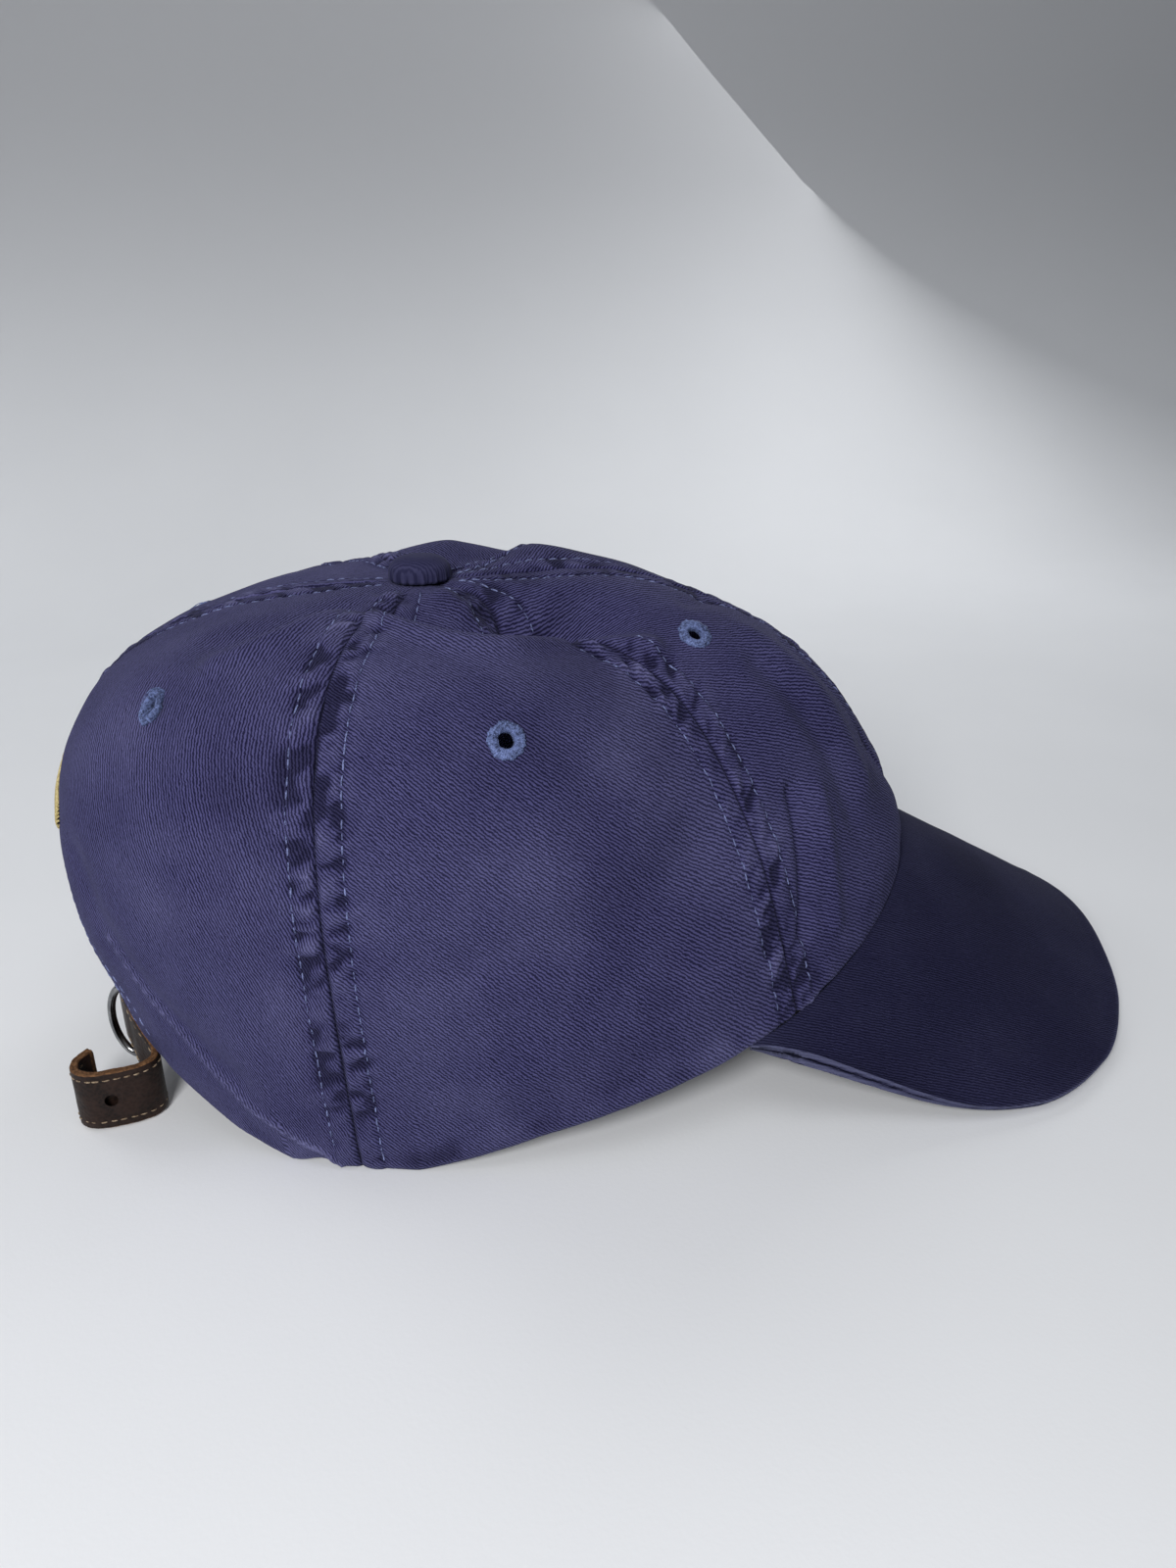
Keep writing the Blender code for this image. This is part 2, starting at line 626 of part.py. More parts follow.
def make_buckle(metal):
    """A bent wire frame that swings on its bar, and a prong on the same bar."""
    bar = np.array([*BUCKLE_BAR, BUCKLE_HEIGHT])
    up = np.array([0.0, 0.0, 1.0])
    out = heading(BUCKLE_HEADING)
    outline = buckle_outline()
    centre = bar + outline[:, :1] * out + outline[:, 1:] * up
    way = np.roll(centre, -1, axis=0) - np.roll(centre, 1, axis=0)
    sections = ring_sections(centre, way, BUCKLE_WIRE, 10, np.cross(out, up))
    frame = loft("buckle_frame", sections, metal, closed=True, sharp_degrees=60.0)
    set_origin(frame, (*BUCKLE_BAR, 0.0))

    eye_radius = BUCKLE_WIRE + GAP + PRONG_WIRE
    start = PRONG_HEADING + 130.0
    wrap = [bar + eye_radius * heading(start + 25.0 * k) for k in range(11)]
    tongue = heading(PRONG_HEADING)
    left = heading(PRONG_HEADING + 90.0)
    reach = [(3.5, -1.5), (6.0, -0.8), (9.0, -0.3), (PRONG_LENGTH, 0.2)]
    line = np.array(wrap + [bar + a * tongue + b * left for a, b in reach])
    way = np.gradient(line, axis=0)
    sections = ring_sections(line, way, PRONG_WIRE, 8, up)
    prong = loft("buckle_prong", sections, metal, sharp_degrees=60.0)
    set_origin(prong, (*BUCKLE_BAR, 0.0))


def make_buckle_tab(leather):
    """The tab sewn inside the near corner: an eye round the buckle's bar and a strip behind it."""
    bar = np.array([*BUCKLE_BAR, 0.0])
    bore = BUCKLE_WIRE + GAP
    eye = bore + 1.2
    path, _ = smooth_path([(x, y, 0.0) for x, y in TAB_ROUTE], 3.0)
    side = level_sides(path)
    half = TAB_THICKNESS / 2.0
    keep = [k for k in range(len(path)) if np.linalg.norm(path[k] - bar) > eye]
    left = [path[k] + half * side[k] for k in keep]
    right = [path[k] - half * side[k] for k in keep]
    first = math.degrees(math.atan2(*(left[0] - bar)[1::-1]))
    last = math.degrees(math.atan2(*(right[0] - bar)[1::-1]))
    sweep = (last - first) % 360.0
    arc = [bar + eye * heading(first + sweep * k / 14.0) for k in range(1, 14)]
    outline = np.array(left[::-1] + arc + right)
    low = BUCKLE_HEIGHT - TAB_HEIGHT / 2.0
    heights = [low, low + TAB_HEIGHT]
    sections = np.stack([outline + np.array([0.0, 0.0, h]) for h in heights])
    tab = loft("buckle_tab", sections, leather)
    cut(tab, cylinder_cutter("bore_tab", (*BUCKLE_BAR, BUCKLE_HEIGHT), (0.0, 0.0, 1.0), bore, 40.0, 20))
    slot = cylinder_cutter("slot_tab", (*BUCKLE_BAR, BUCKLE_HEIGHT), (0.0, 0.0, 1.0), 2.0 * eye, TAB_SLOT, 16)
    cut(tab, slot)


def visor_edge(share):
    """The visor's lower outer edge, from share -1 at its left corner to 1 at its right one."""
    half = np.array(VISOR_EDGE)
    knots = np.concatenate([-half[::-1, 0], half[1:, 0]])
    places = np.concatenate([half[::-1, 1:], half[1:, 1:] * [1.0, -1.0, 1.0]])
    slopes = np.gradient(places, knots, axis=0)
    k = np.clip(np.searchsorted(knots, share) - 1, 0, len(knots) - 2)
    gap = (knots[k + 1] - knots[k])[:, None]
    t = ((share - knots[k])[:, None]) / gap
    first, second = places[k], places[k + 1]
    curve = (2 * t**3 - 3 * t**2 + 1) * first + (t**3 - 2 * t**2 + t) * gap * slopes[k]
    curve += (3 * t**2 - 2 * t**3) * second + (t**3 - t**2) * gap * slopes[k + 1]
    curve[:, 2] = np.maximum(curve[:, 2], 0.0)
    return curve


def ruled(first, second, t):
    """Points of a ruled sheet between two edges, and its upward normals."""
    sheet = first[:, None] * (1.0 - t[..., None]) + second[:, None] * t[..., None]
    across = np.gradient(sheet, axis=0)
    normal = np.cross(across, (second - first)[:, None] + 0.0 * sheet)
    normal *= np.sign(normal[..., 2:])
    return sheet, normal / np.linalg.norm(normal, axis=-1, keepdims=True)


def visor_sheet(share, t, lift):
    """The visor's lower face raised by lift, for a share across it and t from the crown to its outer edge.

    The upper face meets the crown's rim.
    """
    angle = -share * VISOR_CORNER
    rim = rim_point(angle) + VISOR_SETBACK * np.concatenate([outward(angle), np.zeros((len(share), 1))], 1)
    rim[:, 2] -= VISOR_DROP
    outer = visor_edge(share)
    normal_at_rim = ruled(rim, outer, np.zeros((len(share), 1)))[1][:, 0]
    sheet, normal = ruled(rim - VISOR_TOTAL * normal_at_rim, outer, t)
    return sheet + lift * normal


def make_visor(cloth, under_cloth, board_plastic):
    """A curved board between two cloth covers, whose lips meet round its outer edge."""
    share = np.linspace(-1.0, 1.0, VISOR_SECTIONS + 1)
    width = np.linalg.norm(visor_edge(share) - rim_point(-share * VISOR_CORNER), axis=1)
    t = np.linspace(0.0, 1.0, VISOR_STEPS + 1)[None, :] + 0.0 * share[:, None]
    lip = 1.0 - 0.7 / width
    lip_out = 1.0 - np.minimum(0.2, 0.02 * width) / width
    middle = VISOR_TOTAL / 2.0
    gap = GAP / 2.0

    def section(face, wall, seam):
        """Rows of one cover: its face, its lip down to the seam, and back along its inside."""
        inside = t[:, :-1] * lip[:, None]
        rows = [visor_sheet(share, t, face)]
        rows.append(visor_sheet(share, lip_out[:, None] + 0.0 * t[:, :1], seam))
        rows.append(visor_sheet(share, lip[:, None] + 0.0 * t[:, :1], seam))
        rows.append(visor_sheet(share, lip[:, None] + 0.0 * t[:, :1], wall))
        rows.append(visor_sheet(share, inside[:, ::-1], wall))
        return np.concatenate(rows, 1)

    loft("visor_top_cover", section(VISOR_TOTAL, VISOR_TOTAL - VISOR_COVER, middle + gap), cloth)
    loft("visor_under_cover", section(0.0, VISOR_COVER, middle - gap), under_cloth)
    inner = share[2:-2]
    span = width[2:-2, None]
    low = 1.0 / span
    high = 1.0 - BOARD_MARGIN / span
    board_t = low + (high - low) * np.linspace(0.0, 1.0, VISOR_STEPS + 1)[None, :]
    top = visor_sheet(inner, board_t, VISOR_TOTAL - VISOR_COVER - GAP)
    bottom = visor_sheet(inner, board_t, VISOR_COVER + GAP)
    shell("visor_board", top, bottom, board_plastic)


def make_trim(gold, label_cloth):
    """A plain satin bar above the opening, and a blank care label inside."""
    angle = np.linspace(180.0 - EMBROIDERY_HALF_ANGLE, 180.0 + EMBROIDERY_HALF_ANGLE, 13)[:, None]
    above_rim = np.linspace(*EMBROIDERY_ABOVE_RIM, 3)[None, :]
    angle, above_rim = np.broadcast_arrays(angle, above_rim)
    v = v_at(angle, -above_rim)
    shell("embroidery_bar", crown_layer(angle, v, -LINING_GAP - EMBROIDERY_THICKNESS), crown_layer(angle, v, -LINING_GAP), gold)
    angle = np.linspace(LABEL_ANGLE - LABEL_HALF_ANGLE, LABEL_ANGLE + LABEL_HALF_ANGLE, 5)[:, None]
    above_rim = np.linspace(*LABEL_ABOVE_RIM, 5)[None, :]
    angle, above_rim = np.broadcast_arrays(angle, above_rim)
    v = v_at(angle, -above_rim)
    depth = PANEL_THICKNESS + LINING_GAP
    shell("care_label", crown_layer(angle, v, depth), crown_layer(angle, v, depth + LABEL_THICKNESS), label_cloth)


def centre_object():
    cap = bpy.data.objects.new("cap", None)
    pieces = list(bpy.context.collection.objects)
    bpy.context.collection.objects.link(cap)
    cap.location.x = -CENTRE_X * MM
    for piece in pieces:
        piece.parent = cap


def main():
    clear_scene()
    crown_cloth = material("crown_twill", (0.055, 0.055, 0.125), 0.9)
    visor_cloth = material("visor_twill", (0.014, 0.016, 0.040), 0.9)
    thread = material("eyelet_thread", (0.20, 0.24, 0.42), 0.85)
    button_cloth = material("button_cloth", (0.040, 0.042, 0.090), 0.9)
    button_metal = material("button_metal", (0.45, 0.45, 0.47), 0.4, 1.0)
    tape_cloth = material("tape_cloth", (0.045, 0.048, 0.110), 0.85)
    band_cloth = material("sweatband_cloth", (0.050, 0.052, 0.115), 0.85)
    board = material("visor_board", (0.75, 0.75, 0.72), 0.6)
    leather = material("strap_leather", (0.040, 0.020, 0.013), 0.5)
    nickel = material("buckle_metal", (0.30, 0.30, 0.30), 0.25, 1.0)
    gold = material("embroidery_thread", (0.42, 0.32, 0.14), 0.6)
    label = material("label_cloth", (0.75, 0.73, 0.68), 0.8)
    make_panels(crown_cloth, thread)
    make_button(button_cloth, button_metal)
    make_seam_tapes(tape_cloth)
    make_sweatband(band_cloth)
    make_opening_binding(tape_cloth)
    make_visor(visor_cloth, visor_cloth, board)
    make_strap(leather)
    make_buckle(nickel)
    make_buckle_tab(leather)
    make_trim(gold, label)
    centre_object()


main()
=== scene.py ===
"""Looks of the baseball cap: cloth, stitching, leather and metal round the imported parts.

Lengths are in millimetres and laid out from the middle of the head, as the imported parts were.
They become metres in the row frame when a mesh is made.
"""

import math

import bpy
import numpy as np
from mathutils import Matrix, Vector


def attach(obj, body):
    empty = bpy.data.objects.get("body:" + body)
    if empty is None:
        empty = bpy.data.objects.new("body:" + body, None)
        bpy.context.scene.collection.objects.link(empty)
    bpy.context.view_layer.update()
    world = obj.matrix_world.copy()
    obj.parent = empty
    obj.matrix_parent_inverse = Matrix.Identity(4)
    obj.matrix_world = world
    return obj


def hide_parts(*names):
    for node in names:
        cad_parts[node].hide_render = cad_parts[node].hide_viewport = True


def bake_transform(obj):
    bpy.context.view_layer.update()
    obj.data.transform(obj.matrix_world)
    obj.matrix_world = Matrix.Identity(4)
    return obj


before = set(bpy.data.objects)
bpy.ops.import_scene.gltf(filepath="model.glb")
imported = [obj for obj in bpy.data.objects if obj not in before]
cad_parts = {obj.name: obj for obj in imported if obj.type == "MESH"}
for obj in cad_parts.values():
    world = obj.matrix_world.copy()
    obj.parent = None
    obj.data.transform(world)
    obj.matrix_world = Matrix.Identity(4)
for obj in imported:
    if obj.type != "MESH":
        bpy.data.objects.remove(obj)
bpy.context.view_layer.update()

MM = 0.001
CENTRE_X = 26.95
UP = np.array([0.0, 0.0, 1.0])

# Crown: the rim is an ellipse seen from above, and every meridian is a cubic curve from the button to it.
RIM_HALF_LENGTH = 107.0
RIM_HALF_WIDTH = 74.0
BUTTON_POINT = np.array([-21.0, 0.0, 121.0])
PANEL_THICKNESS = 1.0
POST_HOLE_RADIUS = 2.4
STATION_STEP = 30.0  # degrees between the rows below, from the front to the back
RIM_HEIGHT = np.array([49.0, 39.0, 22.0, 9.0, -2.0, 17.0, 30.0])  # negative stretches are flattened to 0
TOP_REACH = np.array([0.69, 0.75, 0.76, 0.86, 0.96, 0.94, 0.85])  # upper handle, share of the run
TOP_DROP = np.array([-5.0, -6.0, 3.0, -4.0, -5.0, -6.0, -7.0])  # upper handle, below the button
SIDE_RISE = np.array([0.604, 0.643, 0.68, 0.863, 0.984, 0.844, 0.764])  # lower handle, share of the height
SIDE_BULGE = np.array([-15.0, -18.0, -16.0, 6.0, 22.0, 27.0, 17.0])  # lower handle, beyond the rim
LEAN = 1.7  # how far the crown's top leans towards the wearer's right
FRONT_SEAM = 56.0
BACK_SEAM = 116.0
SEAMS = (0.0, FRONT_SEAM, BACK_SEAM, 180.0, -BACK_SEAM, -FRONT_SEAM)
SEAM_NAMES = ("front", "front_left", "back_left", "back", "back_right", "front_right")
HANDS = {"left": 1.0, "right": -1.0}
MIDDLES = {
    "front": 0.5 * FRONT_SEAM,
    "side": 0.5 * (FRONT_SEAM + BACK_SEAM),
    "back": 0.5 * (BACK_SEAM + 180.0),
}
OPENING_CORNER = 155.0
ARCH_HEIGHT = 36.0
RIM_SHARE = 5.0 / 11.0  # share of a back panel's columns that end on the rim, not on the opening
BACK_MM_PER_DEGREE = RIM_HALF_WIDTH * math.pi / 180.0

# Cloth.
SEAM_GAP = 0.06
GRID_ACROSS = 96
GRID_DOWN = 150
SEAM_CROWDING = 0.6  # columns are this much closer at the seams than in the middle
ROW_OFFSET = 5.6  # from a seam to the rows of stitching beside it
STITCH_PITCH = 3.0
STITCH_LENGTH = 2.3
THREAD_RADIUS = 0.2
THREAD_LIE = 0.12  # how far a stitch may stand off the cloth
LEATHER_STITCH = {"pitch": 2.3, "length": 1.6, "radius": 0.19}
PUCKER = 0.85
CENTRE_PUCKER = 0.4  # the share of it on the seams along the middle
WALE = 0.78  # width of one line of twill
# Angle between the twill's lines and the level, in each panel.
TWILL_ANGLE = {"front": 50.0, "side": 41.0, "back": 66.0}

# Folds and dents: height, reach, and points as (angle round the rim, distance from the button).
HEM_REACH = 1.0
FRONT_ROLL = 1.6  # how far the front stands out over the visor
FOLDS = [
    (
        2.9,
        3.1,
        [(-114, 38), (-108, 42), (-100, 46), (-90, 48.5), (-76, 46.5), (-66, 47), (-56, 52), (-50, 61)],
    ),
    (-7.2, 10.0, [(-108, 24), (-96, 28), (-84, 33), (-70, 35), (-60, 38)]),
    (-3.0, 5.5, [(-70, 25), (-62, 33), (-56, 42), (-50, 50)]),
    (1.2, 3.0, [(-84, 13), (-78, 22), (-72, 32), (-66, 39)]),
    (3.0, 17.0, [(0, 46), (30, 40), (62, 33), (96, 28)]),
    (2.3, 4.0, [(-120, 18), (-123, 27), (-126, 43), (-130, 56), (-135, 63)]),
    (-2.4, 6.5, [(-131, 30), (-137, 45), (-142, 55)]),
    (0.9, HEM_REACH, [(-148.5, 135), (-143, 150), (-136.5, 161), (-129.5, 172), (-122.5, 178), (-119, 183)]),
    (0.9, HEM_REACH, [(148.5, 135), (143, 150), (136.5, 161), (129.5, 172), (122.5, 178), (119, 183)]),
    (-1.4, 5.0, [(-152, 118), (-147, 136), (-140, 152), (-131, 163)]),
    (-3.0, 2.0, [(-45, 112), (-48, 126), (-52, 141)]),
    (1.8, 3.0, [(-40, 118), (-43, 132), (-46, 146)]),
    (-3.6, 2.8, [(-5, 134), (-4, 142), (-4, 150), (-4, 160)]),
    (4.4, 6.5, [(9, 137), (8, 144), (8, 152)]),
    (-1.8, 4.2, [(-33, 88), (-32, 110), (-33, 134)]),
    (1.5, 5.0, [(-25, 84), (-24, 108), (-25, 132)]),
    (-1.5, 4.0, [(-12, 96), (-10, 116), (-11, 136)]),
    (-1.2, 3.0, [(-22, 66), (-15, 70), (-6, 72)]),
    (-1.4, 9.0, [(72, 30), (92, 36), (104, 44)]),
    (1.1, 6.0, [(60, 50), (84, 52), (108, 50)]),
    (-1.5, 9.0, [(-68, 104), (-84, 116), (-100, 122)]),
    (1.2, 8.0, [(-98, 150), (-82, 141), (-66, 137)]),
    (-1.1, 9.0, [(128, 110), (136, 124), (140, 140)]),
    (3.6, 10.0, [(88, 35), (70, 36), (48, 34)]),
    (-3.0, 14.0, [(120, 42), (136, 54), (152, 68), (164, 84)]),
    (-1.0, 8.0, [(20, 84), (30, 100), (34, 120)]),
]
# The big dent drags the cloth of the near front seam back, by this many degrees at the middle of the drag.
DRAG = 15.0
DRAG_ANGLE = -62.0
DRAG_V = 0.19
DRAG_WIDTH = 26.0
DRAG_REACH = 0.085
# Behind each side panel the hem lifts off the floor in a small notch.
NOTCH_ANGLE = 121.5
NOTCH_WIDTH = 2.2
NOTCH_REACH = 5.0
NOTCH_HEIGHT = 1.3

# Eyelets and button.
EYELET_ANGLES = {"front": 38.0, "side": 94.0, "back": 141.0}
EYELET_SHARE = 0.43
EYELET_BORE = 1.8
EYELET_RADIUS = 4.1
EYELET_HOLE = 2.4
EYELET_WRAPS = 44
BUTTON_RADIUS = 7.6
BUTTON_HEIGHT = 5.6
BUTTON_LIFT = 1.1

# Inside the crown.
LINING_GAP = 0.7
LINING_DEPTH = PANEL_THICKNESS + LINING_GAP
EDGE_ROW = 2.6  # from an edge to the row of stitching along it
TAPE_THICKNESS = 0.6
TAPE_HALF_WIDTH = 5.5
TAPE_START_RADIUS = 7.4
TAPE_ABOVE_RIM = 5.0
SWEATBAND_THICKNESS = 1.0
SWEATBAND_TOP = 34.0
SWEATBAND_LOW = 1.5
SWEATBAND_END = 149.0
BINDING_THICKNESS = 0.7
BINDING_WIDTH = 8.0

# Visor.
VISOR_CORNER = 64.0
VISOR_TOTAL = 3.2
VISOR_COVER = 0.6
VISOR_SETBACK = 0.8
VISOR_DROP = 0.6
VISOR_TWILL_TURN = -19.0  # degrees from the cap's length
VISOR_ROWS = 64
VISOR_LIP = 0.45  # how far the covers' lips stand out past the seam
VISOR_TUCK = 1.0  # how far the covers reach in under the crown's edge
VISOR_EDGE = [  # lower edge from the middle to the near corner, as share of the way, x, y, z
    (0.00, 167.0, 0.0, 10.0),
    (0.25, 163.0, 26.0, 8.0),
    (0.45, 155.0, 48.0, 3.0),
    (0.62, 140.0, 66.0, 0.0),
    (0.78, 116.0, 78.0, 0.0),
    (0.90, 90.0, 77.0, 4.0),
    (1.00, 57.0, 70.5, 16.0),
]

# Leather strap, its free tail, the tab and the buckle.
STRAP_WIDTH = 15.5
STRAP_THICKNESS = 2.0
STRAP_ROUTE = [
    (-86.0, 37.8, 28.0),
    (-89.2, 33.8, 27.5),
    (-92.6, 29.4, 27.0),
    (-98.2, 21.0, 26.0),
    (-103.2, 10.0, 24.0),
    (-105.6, 0.0, 21.5),
    (-105.8, -7.0, 19.3),
    (-104.5, -12.5, 18.0),
    (-102.5, -18.5, 17.4),
    (-101.3, -21.4, 16.6),
    (-100.0, -24.2, 14.6),
    (-97.4, -27.4, 11.4),
    (-95.3, -30.6, 9.0),
    (-95.4, -34.0, 8.1),
    (-98.6, -36.8, 8.1),
    (-104.0, -38.0, 8.1),
    (-109.5, -38.2, 8.1),
    (-113.0, -35.8, 8.1),
    (-113.6, -31.4, 8.1),
    (-111.2, -27.6, 8.1),
]
STRAP_HOLES = [30.0, 46.0, 78.0, 94.5]  # distance along the strap
STRAP_HOLE_RADIUS = 1.6
STRAP_HOLE_DEPTH = 7.0
BLIND_HOLE_DEPTH = 5.0  # the last hole is only punched into the outer face
BLIND_HOLE_SHIFT = 2.4
HOLE_SIDES = 32
CUT_EDGE = 0.45  # rounding of a leather strip's edges
END_CAP = ((0.90, 0.25), (0.55, 0.32), (0.05, 0.30))  # size and reach of the rings that close a strip
STRAP_ROW = 1.9  # from the strap's edge to its stitching
TAB_THICKNESS = 1.0
TAB_ROW = 1.5
BUCKLE_BAR = (-97.0, -21.5)
BUCKLE_HEADING = 153.4
BUCKLE_HEIGHT = 17.5
BUCKLE_WIRE = 1.0
BUCKLE_HALF_HEIGHT = 10.0
BUCKLE_STRAIGHT = 5.6
BUCKLE_ROUND = 6.0
BUCKLE_CORNER = 2.0
PRONG_HEADING = 110.0
PRONG_WIRE = 0.7
PRONG_KNOTS = ((3.5, -1.5), (6.0, -0.8), (9.0, -0.3), (11.5, 0.2))  # along it and to its left
TAB_ROUTE = [(-97.0, -21.5), (-94.6, -25.6), (-92.2, -29.6), (-89.2, -33.6), (-86.2, -37.4)]
TAB_HEIGHT = 11.0
TAB_SLOT = 3.2

# Trim.
EMBROIDERY_THREADS = 120
EMBROIDERY_HALF_ANGLE = 19.0
EMBROIDERY_ABOVE_RIM = (58.0, 50.0)
LABEL_ANGLE = 128.0
LABEL_HALF_ANGLE = 6.5
LABEL_ABOVE_RIM = (62.0, 37.0)

# Camera, fitted to where the crown, the visor and the rim show.
CAMERA_PLACE = (-33.89, -292.93, 185.19)
CAMERA_YAW = 10.45
CAMERA_PITCH = 22.27
CAMERA_ROLL = -1.05
CAMERA_LENS = 27.25

LATTICE = np.random.default_rng(11).uniform(-1.0, 1.0, (64, 64, 64))
STEPS = np.linspace(0.0, 1.0, 81)
TABLE_STEP = 0.25


# ---------------------------------------------------------------- maths


def to_row(points):
    """Metres in the row frame from millimetres about the middle of the head."""
    return (np.asarray(points, float) - [CENTRE_X, 0.0, 0.0]) * MM


def unit(vectors):
    return vectors / np.maximum(np.linalg.norm(vectors, axis=-1, keepdims=True), 1e-9)


def bell(distance, reach):
    return np.exp(-((distance / reach) ** 2))


def turn_from(angle, other):
    return (angle - other + 180.0) % 360.0 - 180.0


def smooth_step(value, low, high):
    t = np.clip((value - low) / (high - low), 0.0, 1.0)
    return t * t * (3.0 - 2.0 * t)


def soft_noise(places, size=1.0, seed=0):
    """Smooth noise from -1 to 1 at 3-D places, with bumps about this size."""
    places = np.asarray(places, float) / size + seed * 7.31
    low = np.floor(places).astype(int)
    t = places - low
    t = t * t * t * (t * (t * 6.0 - 15.0) + 10.0)
    total = 0.0
    for corner in np.ndindex(2, 2, 2):
        weight = np.prod(np.where(corner, t, 1.0 - t), axis=-1)
        x, y, z = np.moveaxis((low + corner) & 63, -1, 0)
        total = total + weight * LATTICE[x, y, z]
    return total


def catmull_rom(a, b, c, d, t):
    """The curve's point at t from b to c."""
    return b + 0.5 * t * (c - a + t * (2 * a - 5 * b + 4 * c - d + t * (3 * (b - c) + d - a)))


def smooth_row(values, angle):
    """A smooth curve through values given every STATION_STEP degrees, even about the front and the back."""
    place = np.abs(turn_from(angle, 0.0)) / STATION_STEP
    last = len(values) - 1
    low = np.clip(np.floor(place).astype(int), 0, last - 1)
    t = place - low

    def at(index):
        index = np.where(index < 0, -index, index)
        return values[np.where(index > last, 2 * last - index, index)]

    return catmull_rom(at(low - 1), at(low), at(low + 1), at(low + 2), t)


def rim_point(angle):
    turn = np.radians(angle)
    height = np.maximum(smooth_row(RIM_HEIGHT, angle), 0.0)
    return np.stack([RIM_HALF_LENGTH * np.cos(turn), RIM_HALF_WIDTH * np.sin(turn), height], -1)


def outward(angle):
    """Level unit vector from the button's axis to the rim."""
    return unit(rim_point(angle)[..., :2] - BUTTON_POINT[:2])


def crown_point(angle, v):
    """The crown's outer face: v runs from 0 at the button to 1 at the rim."""
    angle, v = np.broadcast_arrays(np.asarray(angle, float), np.asarray(v, float))
    rim = rim_point(angle)
    away = outward(angle)
    run = np.linalg.norm(rim[..., :2] - BUTTON_POINT[:2], axis=-1, keepdims=True)
    rise = (BUTTON_POINT[2] - rim[..., 2])[..., None]
    reach = smooth_row(TOP_REACH, angle)[..., None]
    drop = smooth_row(TOP_DROP, angle)[..., None]
    lift = smooth_row(SIDE_RISE, angle)[..., None]
    bulge = smooth_row(SIDE_BULGE, angle)[..., None]
    upper = np.concatenate([BUTTON_POINT[:2] + reach * run * away, BUTTON_POINT[2] - drop], -1)
    lower = np.concatenate([rim[..., :2] + bulge * away, rim[..., 2:] + lift * rise], -1)
    w = v[..., None]
    u = 1 - w
    return u**3 * BUTTON_POINT + 3 * u**2 * w * upper + 3 * u * w * w * lower + w**3 * rim


def meridian_lengths():
    """Lengths from the button to each of STEPS, for an angle every TABLE_STEP degrees on one side."""
    angle = np.arange(0.0, 180.0 + 1.5 * TABLE_STEP, TABLE_STEP)
    line = crown_point(angle[:, None], STEPS)
    lengths = np.cumsum(np.linalg.norm(np.diff(line, axis=1), axis=-1), axis=1)
    return np.concatenate([np.zeros((len(angle), 1)), lengths], 1)


LENGTHS = meridian_lengths()


def table_row(angle):
    """The row of LENGTHS at or before each angle, and the share of the way to the next."""
    place = np.abs(turn_from(angle, 0.0)).reshape(-1) / TABLE_STEP
    row = place.astype(int)
    return row, place - row


def v_at(angle, distance):
    """Where a meridian's length from the button reaches a distance. A negative one counts up from the rim."""
    angle, distance = np.broadcast_arrays(np.asarray(angle, float), np.asarray(distance, float))
    row, t = table_row(angle)
    table = LENGTHS[row] * (1.0 - t[:, None]) + LENGTHS[row + 1] * t[:, None]
    wanted = distance.reshape(-1)
    wanted = np.where(wanted < 0.0, table[:, -1] + wanted, wanted)
    k = np.clip((table < wanted[:, None]).sum(1), 1, len(STEPS) - 1)
    each = np.arange(len(k))
    low, high = table[each, k - 1], table[each, k]
    share = np.clip((wanted - low) / (high - low), 0.0, 1.0)
    return (STEPS[k - 1] + share * (STEPS[k] - STEPS[k - 1])).reshape(angle.shape)


def distances(angle, v):
    """Lengths along the crown from the button to a point, and from the point to the rim."""
    angle, v = np.broadcast_arrays(np.asarray(angle, float), np.asarray(v, float))
    row, t = table_row(angle)
    place = np.clip(v.reshape(-1), 0.0, 1.0) * (len(STEPS) - 1)
    k = np.minimum(place.astype(int), len(STEPS) - 2)
    part = place - k
    before = LENGTHS[row, k] * (1.0 - part) + LENGTHS[row, k + 1] * part
    after = LENGTHS[row + 1, k] * (1.0 - part) + LENGTHS[row + 1, k + 1] * part
    down = before * (1.0 - t) + after * t
    whole = LENGTHS[row, -1] * (1.0 - t) + LENGTHS[row + 1, -1] * t
    return down.reshape(angle.shape), (whole - down).reshape(angle.shape)


def full_length(angle):
    """Lengths along the crown from the button to the rim."""
    return distances(angle, 1.0)[0]


def mm_per_degree(angle, v):
    return np.linalg.norm(crown_point(angle + 0.5, v) - crown_point(angle - 0.5, v), axis=-1)


def crown_normal(surface, angle, v):
    """Outward normals and level directions of a surface function of (angle, v)."""
    small = 2e-3
    low, high = np.clip(v - small, 1e-3, 1.0), np.clip(v + small, 1e-3, 1.0)
    across = surface(angle + 0.15, np.maximum(v, 1e-3)) - surface(angle - 0.15, np.maximum(v, 1e-3))
    return unit(np.cross(surface(angle, high) - surface(angle, low), across)), unit(across)


def off_floor(points):
    """The same points, with none left below the floor."""
    points[..., 2] = np.maximum(points[..., 2], 0.0)
    return points


def line_distance(points, line):
    """Distance from each point to a polyline."""
    least = np.full(points.shape[:-1], 1e9)
    for a, b in zip(line, line[1:]):
        way = b - a
        t = np.clip(((points - a) @ way) / (way @ way), 0.0, 1.0)
        least = np.minimum(least, np.linalg.norm(points - a - t[..., None] * way, axis=-1))
    return least


def near_line(points, line, reach):
    """Which points lie in a polyline's box, grown by reach."""
    return ((points > line.min(0) - reach) & (points < line.max(0) + reach)).all(-1)


def dense_line(points):
    """A Catmull-Rom curve through (angle, distance) pairs, as points on the crown."""
    fine, _ = smooth_path([(a, d, 0.0) for a, d in points], 5.0)
    return crown_point(fine[:, 0], v_at(fine[:, 0], fine[:, 1]))


